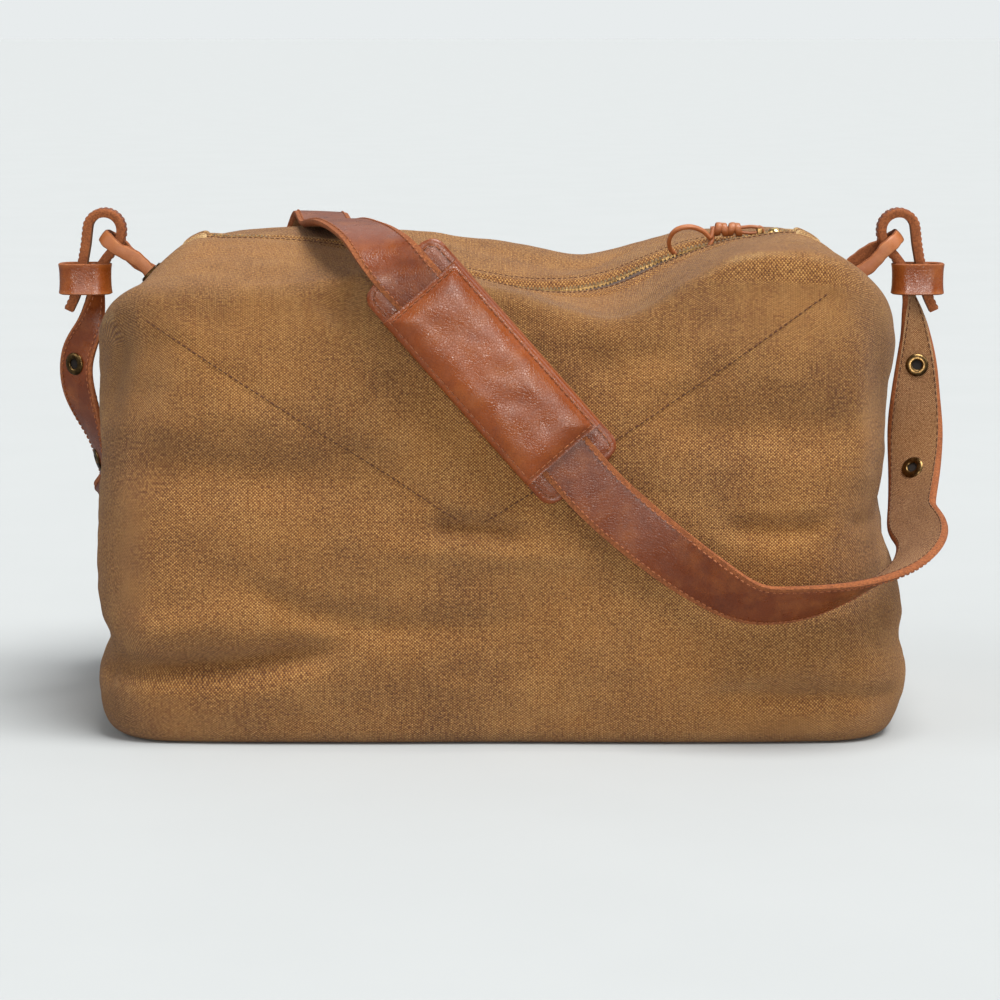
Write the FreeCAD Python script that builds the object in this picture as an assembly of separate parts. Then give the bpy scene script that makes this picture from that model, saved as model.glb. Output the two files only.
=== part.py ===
import FreeCAD, Part
import math
import os

# Soft canvas duffel bag with a leather-faced shoulder strap, in millimetres.
# Origin: centre of the underside. +X towards the end where the zip closes, -Y the front, +Z up.

V = FreeCAD.Vector

# Body
END_LOW_X = 246.0        # widest point of each end, low down
END_LOW_Z = 50.0
END_HIGH_X = 236.0       # each end leans in to here at the shoulder
END_HIGH_Z = 240.0
SHOULDER_X = 192.0       # the top stays level out to here, then slopes down
TOP_Z = 291.0
HALF_DEPTH = 120.0
BASE_HALF_X = 230.0
BASE_CORNER_R = 16.0
CREASE_R = 30.0          # rounding along the top edges, front and back
PLAN_CORNER_R = 58.0     # rounding of the four upright corners
CANVAS = 2.0             # outer canvas thickness
LINING_GAP = 2.3         # lining lies this far inside the outer face
LINING = 0.8
PANEL_X = 186.0          # seam between the front or back panel and the end panels
PANEL_LOW_Z = 17.0       # seam between the base panel and the walls
PANEL_HIGH_Z = 261.0     # seam between the walls and the top panels
OUTLINE_LOW_R = 60.0     # roundings of the front outline, from its widest point up
OUTLINE_HIGH_R = 25.0
OUTLINE_TOP_R = 20.0
BOARD_THICK = 2.5
BOARD_HALF_X = 205.0
BOARD_HALF_Y = 92.0
BOARD_CORNER_R = 12.0
AIR = 0.3                # gap between parts that lie side by side

# Zip along the middle of the top
SLOT_HALF = 12.0
ZIP_HALF = 182.0
TAPE_THICK = 0.8
TAPE_TOP_Z = 288.9
TAPE_INNER_Y = 2.5
TAPE_OUTER_Y = 22.0
LINING_SLOT_HALF = 24.0
TAB_END_X = 197.0        # canvas tab over each end of the zip reaches to here
TOOTH_PITCH = 3.6
TOOTH_WIDTH = 2.0
TOOTH_INNER_Y = 0.7
TOOTH_ROOT_Y = 2.3
TOOTH_OUTER_Y = 3.6
TOOTH_LOW_Z = 287.3
TOOTH_HIGH_Z = 289.7
STOP_SIZE = V(3.0, 3.0, 3.2)
STOP_X = 179.0
STOP_Y = 2.4             # middle of each stop, beside the zip's line
STOP_LOW_Z = 286.9
COMB_MARGIN = 3.0        # the combs of teeth end this far inside the stops

# Slider, with its dome and the crossbar that carries the leather pull
SLIDER_X = 163.0
SLIDER_HALF_LEN = 7.5
SLIDER_HALF_Y = 6.8
SLIDER_TOP_Z = 291.4
PLATE = 1.2
PLATE_TOP_GAP = 0.4      # air between the teeth and each plate
WEB_HALF_Y = 0.35
WEB_LEN = 4.0
RIM = 1.2
DOME_R = 5.5
DOME_H = 5.0
DOME_X = 3.0             # dome centre, ahead of the slider's middle
BAR_X = -5.0             # crossbar, behind the slider's middle
BAR_Z = 295.6
BAR_R = 0.8
CHEEK_Y = 2.9
CHEEK = 1.0
CHEEK_HALF_X = 1.5
CHEEK_RISE = 1.3         # how far each cheek stands above the crossbar's middle
BAR_END = 0.5            # how far the crossbar runs into each cheek

# Leather pull, lying back along the zip
THONG_HALF_Y = 2.3
THONG_THICK = 2.4
EYE_R = 3.3
KNOT_START = 12.0        # distances back from the crossbar
KNOT_LEN = 15.0
KNOT_R = 4.3
LOOP_LEN = 25.0
LOOP_HALF_Y = 9.0
LOOP_CORD_R = 1.7
KNOT_ROUND = 1.7
BAR_CLEAR = 0.3

# Leather ring on each shoulder
RING_CORD_R = 3.5
RING_HALF = 12.0
RING_LEG = 27.0
RING_INSIDE = 11.0       # how far each leg runs on inside the bag
RING_FOOT = V(212.0, 0.0, 267.8)
RING_TILT = math.radians(38.0)
RING_KNOT_R = 6.0
RING_KNOT_LEN = 8.0
EYELET_BORE_R = 3.9
EYELET_R = 5.0
EYELET_FLANGE_R = 7.2
EYELET_FLANGE = 0.8
EYELET_DEPTH = 3.0       # how far each eyelet's barrel reaches in from the ring's foot
EYELET_LIFT = 2.6        # how far out along the leg its flange stands

# Strap
STRAP_W = 34.0
STRAP_LEATHER = 2.6
STRAP_CANVAS = 1.5
LAYER_GAP = 0.05
TONGUE_W = 11.0
TONGUE_X = 243.0
TONGUE_Z = 296.0
TONGUE_R = 10.0          # middle of the leather's thickness round the ring
SPLIT_GAP = 1.5          # air at the cut between the strap end and the strap body
STRAP_EYELET_Z = (212.5, 151.5)
STRAP_EYELET_BORE_R = 3.0
STRAP_EYELET_R = 4.0
STRAP_EYELET_FLANGE_R = 7.0
STRAP_EYELET_FLANGE = 0.8
EYELET_CLEAR = 0.15
FLANGE_CLEAR_BACK = 0.25     # air under each strap eyelet's two flanges
FLANGE_CLEAR_FRONT = 0.3

# Keeper band round the folded tongue
KEEPER_X = 255.5
KEEPER_HALF_X = 16.0
KEEPER_HALF_Y = 10.0
KEEPER_WALL = 2.6
KEEPER_CORNER_R = 5.0
KEEPER_LOW_Z = 257.0
KEEPER_HIGH_Z = 275.0

# Shoulder pad, threaded on the straight stretch of strap across the front
PAD_CENTRE = V(-5.5, 0.0, 222.5)
PAD_LEN = 165.0
PAD_W = 56.0
PAD_CORNER_R = 9.0
PAD_TAB = 20.0           # flat end beyond each slit
PAD_BACK_Y = -120.7      # face nearest the bag
PAD_BACKING = 1.8
PAD_FLOOR_Y = -126.9     # top of the end tabs, under the strap
PAD_TOP_Y = -133.7
PAD_BRIDGE = 1.7
PAD_CHANNEL_W = 35.2
PAD_FOAM_HALF = (61.5, 21.5)
PAD_STRAP_Y = -129.0

# Routes. Each stop is a point on the middle of the strap and the way its leather face looks.
# The tail of the tongue lies down outside the hanging strap, in the keeper.
TAIL_ROUTE = [
    (V(264.0, 0.0, 249.0), V(1.0, 0.0, 0.3), TONGUE_W),
    (V(259.0, 0.0, 262.0), V(1.0, 0.0, 0.3), TONGUE_W),
    (V(256.0, 0.0, 275.0), V(1.0, 0.0, 0.1), TONGUE_W),
]
# Past the ring, the tongue comes down inside the bag's end of the fold.
TONGUE_ROUTE = [
    (V(234.0, 0.0, 288.0), V(-0.9, 0.0, -0.4), TONGUE_W),
    (V(246.3, 0.0, 277.0), V(-0.85, 0.0, -0.5), TONGUE_W),
]
# The strap end hangs from the ring on the right shoulder and turns to meet the strap body.
END_ROUTE = [
    (V(249.0, 0.0, 262.0), V(-1.0, 0.3, 0.0), 12.0),
    (V(251.5, -1.0, 253.0), V(-0.8, 0.6, 0.0), 13.0),
    (V(253.5, -2.5, 244.0), V(-0.4, 0.92, 0.0), 14.5),
    (V(254.5, -4.0, 234.0), V(-0.1, 1.0, 0.0), 17.0),
    (V(255.2, -6.0, 218.0), V(0.0, 1.0, 0.0), 22.0),
    (V(256.0, -9.0, 192.0), V(0.0, 1.0, 0.0), 30.0),
    (V(257.5, -12.0, 172.0), V(0.0, 1.0, -0.1), STRAP_W),
    (V(260.0, -19.0, 141.0), V(0.0, 0.95, -0.3), STRAP_W),
    (V(261.0, -29.0, 126.0), V(0.0, 0.8, -0.6), STRAP_W),
]
# From past the cut on the right, under the corner and across the front to the pad. The strap
# then goes over the top and down the back, to meet the same strap end on the left.
BODY_ROUTE = [
    (V(263.0, -50.0, 111.0), V(-0.2, 0.55, -0.84)),
    (V(263.0, -80.0, 99.0), V(-0.2, 0.3, -0.95)),
    (V(255.0, -114.0, 90.0), V(-0.1, 0.1, -1.0)),
    (V(229.0, -134.0, 85.0), V(0.0, -0.05, -1.0)),
    (V(203.0, -140.0, 82.0), V(0.0, -0.25, -0.97)),
    (V(176.0, -137.5, 83.0), V(0.0, -0.5, -0.86)),
    (V(148.0, -132.5, 90.0), V(0.0, -0.75, -0.66)),
    (V(118.0, -127.5, 103.0), V(0.0, -0.93, -0.37)),
    (V(88.0, -124.5, 124.0), V(0.0, -1.0, -0.05)),
]
OVER_ROUTE = [
    (V(-72.0, -123.0, 297.0), V(0.0, -0.8, 0.6)),
    (V(-80.0, -104.0, 304.0), V(0.0, -0.35, 0.94)),
    (V(-88.0, -72.0, 305.5), V(0.0, 0.0, 1.0)),
    (V(-100.0, 0.0, 305.5), V(0.0, 0.0, 1.0)),
    (V(-112.0, 72.0, 303.0), V(0.0, 0.05, 1.0)),
    (V(-118.0, 102.0, 299.0), V(0.0, 0.4, 0.92)),
    (V(-125.0, 120.0, 284.0), V(0.0, 0.92, 0.4)),
    (V(-132.0, 124.5, 262.0), V(0.0, 1.0, 0.0)),
    (V(-146.0, 124.5, 215.0), V(0.0, 1.0, 0.0)),
    (V(-158.0, 125.5, 165.0), V(0.0, 1.0, -0.05)),
    (V(-168.0, 130.0, 128.0), V(0.0, 0.93, -0.37)),
    (V(-184.0, 137.0, 98.0), V(0.0, 0.6, -0.8)),
    (V(-206.0, 140.0, 85.0), V(0.0, 0.2, -1.0)),
    (V(-230.0, 133.5, 85.0), V(0.0, 0.05, -1.0)),
    (V(-255.0, 114.0, 90.0), V(0.1, -0.1, -1.0)),
    (V(-263.0, 80.0, 99.0), V(0.2, -0.3, -0.95)),
    (V(-263.0, 50.0, 111.0), V(0.2, -0.55, -0.84)),
]
PAD_STRAIGHT = (101.0, 88.0)   # straight strap below and above the pad's middle

AXIS_X = V(1, 0, 0)
AXIS_Y = V(0, 1, 0)
AXIS_Z = V(0, 0, 1)
BIG = 400.0              # larger than the bag, for cutting blocks
THROUGH = 15.0           # half the length of a drill through one wall


def unit(v):
    return v / v.Length


def box(low, high):
    size = high - low
    return Part.makeBox(size.x, size.y, size.z, low)


def rounded_outline(corners, place):
    """Closed wire through (u, v, radius) corners, each rounded by a tangent arc."""
    points = [place(u, v) for u, v, _ in corners]
    edges = []
    joints = []
    for i, (_, _, radius) in enumerate(corners):
        here = points[i]
        back = unit(points[i - 1] - here)
        ahead = unit(points[(i + 1) % len(points)] - here)
        half = back.getAngle(ahead) / 2
        reach = radius / math.tan(half)
        centre = here + unit(back + ahead) * (radius / math.sin(half))
        middle = centre + unit(here - centre) * radius
        joints.append((here + back * reach, middle, here + ahead * reach))
    for i, (start, middle, end) in enumerate(joints):
        edges.append(Part.Arc(start, middle, end).toShape())
        edges.append(Part.LineSegment(end, joints[(i + 1) % len(joints)][0]).toShape())
    return Part.Wire(edges)


def prism(wire, inset, way):
    """Face inside the wire, taken in by inset, made into a prism both ways along way."""
    face = Part.Face(wire)
    if inset:
        face = face.makeOffset2D(-inset)
    face.translate(way * -BIG)
    return face.extrude(way * (2 * BIG))


def envelope(inset):
    """The bag's soft block shape: its front, side and plan outlines in common."""
    front = [
        (-BASE_HALF_X, 0, BASE_CORNER_R), (BASE_HALF_X, 0, BASE_CORNER_R),
        (END_LOW_X, END_LOW_Z, OUTLINE_LOW_R), (END_HIGH_X, END_HIGH_Z, OUTLINE_HIGH_R),
        (SHOULDER_X, TOP_Z, OUTLINE_TOP_R), (-SHOULDER_X, TOP_Z, OUTLINE_TOP_R),
        (-END_HIGH_X, END_HIGH_Z, OUTLINE_HIGH_R), (-END_LOW_X, END_LOW_Z, OUTLINE_LOW_R),
    ]
    side = [
        (-HALF_DEPTH, 0, BASE_CORNER_R), (HALF_DEPTH, 0, BASE_CORNER_R),
        (HALF_DEPTH, TOP_Z, CREASE_R), (-HALF_DEPTH, TOP_Z, CREASE_R),
    ]
    plan = [
        (sx * END_LOW_X, sy * HALF_DEPTH, PLAN_CORNER_R)
        for sx, sy in ((-1, -1), (1, -1), (1, 1), (-1, 1))
    ]
    block = prism(rounded_outline(front, lambda u, v: V(u, 0, v)), inset, AXIS_Y)
    block = block.common(prism(rounded_outline(side, lambda u, v: V(0, u, v)), inset, AXIS_X))
    return block.common(prism(rounded_outline(plan, lambda u, v: V(u, v, 0)), inset, AXIS_Z))


def half_turn(shape):
    """The same shape at the other end of the bag, turned half round the upright axis."""
    turned = shape.copy()
    turned.rotate(V(0, 0, 0), AXIS_Z, 180)
    return turned


def ring_way():
    return V(math.cos(RING_TILT), 0, math.sin(RING_TILT))


def ring_feet():
    return [RING_FOOT + V(0, side * RING_HALF, 0) for side in (-1, 1)]


def rod(start, way, length, radius):
    return Part.makeCylinder(radius, length, start, way)


def drill(middle, way, radius):
    return rod(middle - way * THROUGH, way, 2 * THROUGH, radius)


def body_panels():
    shell = envelope(0).cut(envelope(CANVAS))
    shell = shell.cut(box(V(-ZIP_HALF, -SLOT_HALF, TOP_Z - 10), V(ZIP_HALF, SLOT_HALF, TOP_Z + 10)))
    for foot in ring_feet():
        hole = drill(foot, ring_way(), EYELET_R + EYELET_CLEAR)
        shell = shell.cut(hole).cut(half_turn(hole))
    walls = (PANEL_LOW_Z, PANEL_HIGH_Z)
    cells = {
        "base_panel": (V(-BIG, -BIG, -10), V(BIG, BIG, walls[0])),
        "front_panel": (V(-PANEL_X, -BIG, walls[0]), V(PANEL_X, 0, walls[1])),
        "back_panel": (V(-PANEL_X, 0, walls[0]), V(PANEL_X, BIG, walls[1])),
        "end_panel_right": (V(PANEL_X, -BIG, walls[0]), V(BIG, BIG, BIG)),
        "end_panel_left": (V(-BIG, -BIG, walls[0]), V(-PANEL_X, BIG, BIG)),
        "top_panel_front": (V(-PANEL_X, -BIG, walls[1]), V(PANEL_X, 0, BIG)),
        "top_panel_back": (V(-PANEL_X, 0, walls[1]), V(PANEL_X, BIG, BIG)),
    }
    panels = {name: shell.common(box(*cell)) for name, cell in cells.items()}
    tab = box(V(ZIP_HALF, -SLOT_HALF, TOP_Z - 20), V(TAB_END_X, SLOT_HALF, TOP_Z + 10))
    for name in ("top_panel_front", "top_panel_back", "end_panel_right", "end_panel_left"):
        panels[name] = panels[name].cut(tab).cut(half_turn(tab))
    panels["zip_end_tab_right"] = shell.common(tab)
    panels["zip_end_tab_left"] = half_turn(panels["zip_end_tab_right"])
    return panels


def lining_parts():
    lining = envelope(LINING_GAP).cut(envelope(LINING_GAP + LINING))
    lining = lining.cut(box(V(-ZIP_HALF, -LINING_SLOT_HALF, TOP_Z - 10),
                            V(ZIP_HALF, LINING_SLOT_HALF, TOP_Z + 10)))
    for foot in ring_feet():
        hole = drill(foot, ring_way(), EYELET_FLANGE_R + 1)
        lining = lining.cut(hole).cut(half_turn(hole))
    floor_z = LINING_GAP + LINING + AIR
    board = box(V(-BOARD_HALF_X, -BOARD_HALF_Y, floor_z),
                V(BOARD_HALF_X, BOARD_HALF_Y, floor_z + BOARD_THICK))
    upright = [e for e in board.Edges if abs(e.tangentAt(e.FirstParameter).z) > 0.9]
    return {"lining": lining, "base_board": board.makeFillet(BOARD_CORNER_R, upright)}


def zip_parts():
    parts = {}
    comb_end = STOP_X - COMB_MARGIN
    for side, name in ((-1, "front"), (1, "back")):
        inner, outer = sorted((side * TAPE_INNER_Y, side * TAPE_OUTER_Y))
        tape = box(V(-ZIP_HALF, inner, TAPE_TOP_Z - TAPE_THICK), V(ZIP_HALF, outer, TAPE_TOP_Z))
        points = [V(-comb_end, side * TOOTH_OUTER_Y, TOOTH_LOW_Z)]
        count = int(2 * (comb_end - 1) / TOOTH_PITCH)
        first = -count * TOOTH_PITCH / 2
        for i in range(count):
            left = first + i * TOOTH_PITCH
            for x, y in ((left, TOOTH_ROOT_Y), (left, TOOTH_INNER_Y),
                         (left + TOOTH_WIDTH, TOOTH_INNER_Y), (left + TOOTH_WIDTH, TOOTH_ROOT_Y)):
                points.append(V(x, side * y, TOOTH_LOW_Z))
        points.append(V(comb_end, side * TOOTH_OUTER_Y, TOOTH_LOW_Z))
        comb = Part.Face(Part.makePolygon(points + points[:1]))
        comb = comb.extrude(V(0, 0, TOOTH_HIGH_Z - TOOTH_LOW_Z))
        parts["zip_tape_" + name] = tape.cut(comb)
        parts["zip_teeth_" + name] = comb
    stop = box(V(0, 0, 0), STOP_SIZE)
    stops = []
    for end in (-1, 1):
        for side in (-1, 1):
            one = stop.copy()
            one.translate(V(end * STOP_X - STOP_SIZE.x / 2, side * STOP_Y - STOP_SIZE.y / 2, STOP_LOW_Z))
            stops.append(one)
    parts["zip_stops"] = Part.makeCompound(stops)
    for name in ("front", "back"):
        for one in stops:
            parts["zip_tape_" + name] = parts["zip_tape_" + name].cut(one)
    return parts


def slider_parts():
    low = SLIDER_X - SLIDER_HALF_LEN
    high = SLIDER_X + SLIDER_HALF_LEN
    half = SLIDER_HALF_Y
    under_top = TOOTH_HIGH_Z + PLATE_TOP_GAP
    over_bottom = TOOTH_LOW_Z - PLATE_TOP_GAP
    body = box(V(low, -half, under_top), V(high, half, SLIDER_TOP_Z))
    body = body.fuse(box(V(low, -half, over_bottom - PLATE), V(high, half, over_bottom)))
    body = body.fuse(box(V(high - WEB_LEN, -WEB_HALF_Y, over_bottom), V(high, WEB_HALF_Y, under_top)))
    for side in (-1, 1):
        rim = sorted((side * (half - RIM), side * half))
        body = body.fuse(box(V(low, rim[0], TAPE_TOP_Z + AIR), V(high, rim[1], under_top)))
        body = body.fuse(box(V(low, rim[0], over_bottom), V(high, rim[1], TAPE_TOP_Z - TAPE_THICK - AIR)))
        cheek = sorted((side * CHEEK_Y, side * (CHEEK_Y + CHEEK)))
        post = box(V(SLIDER_X + BAR_X - CHEEK_HALF_X, cheek[0], SLIDER_TOP_Z),
                   V(SLIDER_X + BAR_X + CHEEK_HALF_X, cheek[1], BAR_Z + CHEEK_RISE))
        body = body.fuse(post)
    reach = CHEEK_Y + BAR_END
    bar = rod(V(SLIDER_X + BAR_X, -reach, BAR_Z), AXIS_Y, 2 * reach, BAR_R)
    body = body.fuse(bar).removeSplitter()
    rise = (DOME_R ** 2 - DOME_H ** 2) / (2 * DOME_H)
    ball = Part.makeSphere(DOME_H + rise, V(SLIDER_X + DOME_X, 0, SLIDER_TOP_Z - rise))
    cap = rod(V(SLIDER_X + DOME_X, 0, SLIDER_TOP_Z), AXIS_Z, 2 * DOME_H, DOME_R)
    return {"slider_body": body, "slider_dome": ball.common(cap)}


def pull_parts():
    bar = V(SLIDER_X + BAR_X, 0, BAR_Z)
    half = V(0, THONG_HALF_Y, 0)
    eye = rod(bar - half, AXIS_Y, 2 * THONG_HALF_Y, EYE_R)
    shank = box(bar + V(-KNOT_START, -THONG_HALF_Y, -THONG_THICK / 2),
                bar + V(0, THONG_HALF_Y, THONG_THICK / 2))
    bore = rod(bar - half * 2, AXIS_Y, 4 * THONG_HALF_Y, BAR_R + BAR_CLEAR)
    knot = rod(bar - V(KNOT_START + KNOT_LEN, 0, 0), AXIS_X, KNOT_LEN, KNOT_R)
    ends = [e for e in knot.Edges if isinstance(e.Curve, Part.Circle)]
    middle = bar - V(KNOT_START + KNOT_LEN + LOOP_LEN / 2, 0, 0)
    run = LOOP_LEN - 2 * LOOP_HALF_Y
    loop = None
    for end in (-1, 1):
        centre = middle + V(end * run / 2, 0, 0)
        bend = Part.makeTorus(LOOP_HALF_Y - LOOP_CORD_R, LOOP_CORD_R, centre, AXIS_Z)
        inside = [centre, centre + V(end * LOOP_LEN, 0, 0)]
        inside.sort(key=lambda point: point.x)
        room = V(0, LOOP_LEN, LOOP_LEN)
        bend = bend.common(box(inside[0] - room, inside[1] + room))
        loop = bend if loop is None else loop.fuse(bend)
    for side in (-1, 1):
        start = middle + V(-run / 2, side * (LOOP_HALF_Y - LOOP_CORD_R), 0)
        loop = loop.fuse(rod(start, AXIS_X, run, LOOP_CORD_R))
    return {
        "pull_thong": eye.fuse(shank).cut(bore).removeSplitter(),
        "pull_knot": knot.makeFillet(KNOT_ROUND, ends),
        "pull_loop": loop.removeSplitter(),
    }


def ring_parts():
    way = ring_way()
    feet = ring_feet()
    total = RING_INSIDE + RING_LEG
    ring = None
    for foot in feet:
        leg = rod(foot - way * RING_INSIDE, way, total, RING_CORD_R)
        ring = leg if ring is None else ring.fuse(leg)
    centre = RING_FOOT + way * RING_LEG
    normal = way.cross(AXIS_Y)
    bend = Part.makeTorus(RING_HALF, RING_CORD_R, centre, normal)
    ahead = box(V(0, -BIG, -BIG), V(BIG, BIG, BIG))
    ahead.rotate(V(0, 0, 0), AXIS_Y, -math.degrees(RING_TILT))
    ahead.translate(centre)
    ring = ring.fuse(bend.common(ahead)).removeSplitter()
    knots = [rod(foot - way * (RING_INSIDE + RING_KNOT_LEN), way, RING_KNOT_LEN, RING_KNOT_R)
             for foot in feet]
    eyelets = []
    for foot in feet:
        # The eyelet stands square to the leg, so its flange sits just proud of the canvas.
        barrel = rod(foot - way * EYELET_DEPTH, way, EYELET_DEPTH + EYELET_LIFT, EYELET_R)
        flange = rod(foot + way * EYELET_LIFT, way, EYELET_FLANGE, EYELET_FLANGE_R)
        bore = drill(foot, way, EYELET_BORE_R)
        eyelets.append(barrel.fuse(flange).cut(bore).removeSplitter())
    return {
        "ring": ring,
        "ring_knots": Part.makeCompound(knots),
        "ring_eyelets": Part.makeCompound(eyelets),
    }


def frames(stops):
    """Section of the strap at each stop: point, half the width across, and the leather's way out."""
    sections = []
    for i, (point, look, width) in enumerate(stops):
        before = stops[max(i - 1, 0)][0]
        after = stops[min(i + 1, len(stops) - 1)][0]
        along = unit(after - before)
        across = unit(along.cross(look))
        sections.append((point, across * (width / 2), unit(across.cross(along))))
    return sections


def band(sections, low, high):
    """A flat strip through the sections, lying from low to high along each leather face."""
    wires = []
    for point, side, out in sections:
        corners = [point - side + out * low, point + side + out * low,
                   point + side + out * high, point - side + out * high]
        wires.append(Part.makePolygon(corners + corners[:1]))
    return Part.makeLoft(wires, True, True)


def pad_way():
    """Down the strap, across the front."""
    return unit(V(101, 0, -115))


def pad_point(s):
    point = PAD_CENTRE + pad_way() * s
    return V(point.x, PAD_STRAP_Y, point.z)


def body_stops():
    front = V(0, -1, 0)
    stops = [(p, n, STRAP_W) for p, n in BODY_ROUTE]
    stops.append((pad_point(PAD_STRAIGHT[0]), front, STRAP_W))
    stops.append((pad_point(-PAD_STRAIGHT[1]), front, STRAP_W))
    stops += [(p, n, STRAP_W) for p, n in OVER_ROUTE]
    return stops


def end_stops():
    """The tail, the fold round the ring and the hanging strap end, as one strip."""
    stops = list(TAIL_ROUTE)
    for degrees in range(0, 181, 30):
        a = math.radians(degrees)
        out = V(math.cos(a), 0, math.sin(a))
        stops.append((V(TONGUE_X, 0, TONGUE_Z) + out * TONGUE_R, out, TONGUE_W))
    return stops + TONGUE_ROUTE + END_ROUTE


def turned_stop(stop):
    point, look, width = stop
    return V(-point.x, -point.y, point.z), V(-look.x, -look.y, look.z), width


def trimmed(sections, trim_start, trim_end):
    """The same sections with the first and last moved in along the strap."""
    moved = list(sections)
    for end, beside, gap in ((0, 1, trim_start), (-1, -2, trim_end)):
        point, side, out = sections[end]
        moved[end] = (point + unit(sections[beside][0] - point) * gap, side, out)
    return moved


def strap_parts():
    leather = (LAYER_GAP, LAYER_GAP + STRAP_LEATHER)
    canvas = (-STRAP_CANVAS, 0.0)
    right = end_stops()
    left = [turned_stop(stop) for stop in reversed(right)]
    whole = frames(right + body_stops() + left)
    cut = len(right) - 1
    body = trimmed(whole[cut:len(whole) - cut], SPLIT_GAP, SPLIT_GAP)
    end = whole[:cut + 1]
    first_canvas = len(right) - len(END_ROUTE) + 2
    end_leather = band(end, *leather)
    end_canvas = band(end[first_canvas:], *canvas)
    eyelets = []
    hang = [(p, n) for p, n, _ in END_ROUTE]
    for z in STRAP_EYELET_Z:
        above = [stop for stop in hang if stop[0].z >= z][-1]
        below = [stop for stop in hang if stop[0].z < z][0]
        share = (above[0].z - z) / (above[0].z - below[0].z)
        centre = above[0] + (below[0] - above[0]) * share
        along = unit(below[0] - above[0])
        out = unit(V(0, 1, 0) - along * along.y)
        hole = drill(centre, out, STRAP_EYELET_R + EYELET_CLEAR)
        end_leather = end_leather.cut(hole)
        end_canvas = end_canvas.cut(hole)
        back = -STRAP_CANVAS - FLANGE_CLEAR_BACK
        front = STRAP_LEATHER + FLANGE_CLEAR_FRONT
        one = rod(centre + out * back, out, front - back, STRAP_EYELET_R)
        one = one.fuse(rod(centre + out * (back - STRAP_EYELET_FLANGE), out,
                           STRAP_EYELET_FLANGE, STRAP_EYELET_FLANGE_R))
        one = one.fuse(rod(centre + out * front, out, STRAP_EYELET_FLANGE, STRAP_EYELET_FLANGE_R))
        eyelets.append(one.cut(drill(centre, out, STRAP_EYELET_BORE_R)).removeSplitter())
    return {
        "strap_leather": band(body, *leather),
        "strap_backing": band(body, *canvas),
    }, {
        "strap_end_leather": end_leather,
        "strap_end_backing": end_canvas,
        "strap_eyelets": Part.makeCompound(eyelets),
    }


def keeper():
    def tube_outline(grow):
        hx = KEEPER_HALF_X + grow
        hy = KEEPER_HALF_Y + grow
        corners = [(KEEPER_X + sx * hx, sy * hy, KEEPER_CORNER_R + grow)
                   for sx, sy in ((-1, -1), (1, -1), (1, 1), (-1, 1))]
        return Part.Face(rounded_outline(corners, lambda u, v: V(u, v, KEEPER_LOW_Z)))
    ring = tube_outline(0).cut(tube_outline(-KEEPER_WALL))
    return ring.extrude(V(0, 0, KEEPER_HIGH_Z - KEEPER_LOW_Z))


def pad_parts():
    def slab(half_len, half_wide, near_y, far_y, corner):
        corners = [(su * half_len, sv * half_wide, corner)
                   for su, sv in ((-1, -1), (1, -1), (1, 1), (-1, 1))]
        face = Part.Face(rounded_outline(corners, lambda u, v: V(u, near_y, v)))
        return face.extrude(V(0, far_y - near_y, 0))
    half_len = PAD_LEN / 2
    half_wide = PAD_W / 2
    split_y = PAD_BACK_Y - PAD_BACKING
    backing = slab(half_len, half_wide, PAD_BACK_Y, split_y, PAD_CORNER_R)
    top = slab(half_len, half_wide, split_y, PAD_TOP_Y, PAD_CORNER_R)
    channel_top = PAD_TOP_Y + PAD_BRIDGE
    top = top.cut(box(V(-BIG, channel_top, -PAD_CHANNEL_W / 2), V(BIG, PAD_FLOOR_Y, PAD_CHANNEL_W / 2)))
    inner = half_len - PAD_TAB
    for low, high in ((-BIG, -inner), (inner, BIG)):
        top = top.cut(box(V(low, PAD_TOP_Y - 5, -BIG), V(high, PAD_FLOOR_Y, BIG)))
    hx, hz = PAD_FOAM_HALF
    top = top.cut(box(V(-hx, PAD_FLOOR_Y, -hz), V(hx, split_y, hz)))
    room = V(AIR, AIR, AIR)
    foam = box(V(-hx, PAD_FLOOR_Y, -hz) + room, V(hx, split_y, hz) - room)
    way = pad_way()
    angle = math.degrees(math.atan2(way.z, way.x))
    placed = {}
    for name, shape in (("pad_backing", backing), ("pad_top", top), ("pad_foam", foam)):
        shape.rotate(V(0, 0, 0), AXIS_Y, -angle)
        shape.translate(PAD_CENTRE)
        placed[name] = shape
    return placed


def main():
    parts = body_panels()
    parts.update(lining_parts())
    parts.update(zip_parts())
    parts.update(slider_parts())
    parts.update(pull_parts())
    parts.update(pad_parts())
    strap, strap_end = strap_parts()
    parts.update(strap)
    mirrored = dict(ring_parts(), keeper=keeper(), **strap_end)
    for name, shape in mirrored.items():
        parts[name + "_right"] = shape
        parts[name + "_left"] = half_turn(shape)
    half = end_stops()
    route = half + body_stops() + [turned_stop(stop) for stop in reversed(half)]
    length = sum((b[0] - a[0]).Length for a, b in zip(route, route[1:]))
    print("strap length %.0f mm" % length)
    os.makedirs("parts", exist_ok=True)
    for name, shape in sorted(parts.items()):
        for solid in shape.Solids:
            if not solid.isValid() or solid.Volume <= 0:
                print("check", name, solid.isValid(), solid.Volume)
        print("%-24s solids %d volume %9.0f" % (name, len(shape.Solids), shape.Volume))
        shape.exportStep("parts/" + name + ".step")


main()
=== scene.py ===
import math

import bmesh
import bpy
import numpy as np
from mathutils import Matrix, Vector
from mathutils.bvhtree import BVHTree
from mathutils.noise import noise as perlin


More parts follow.
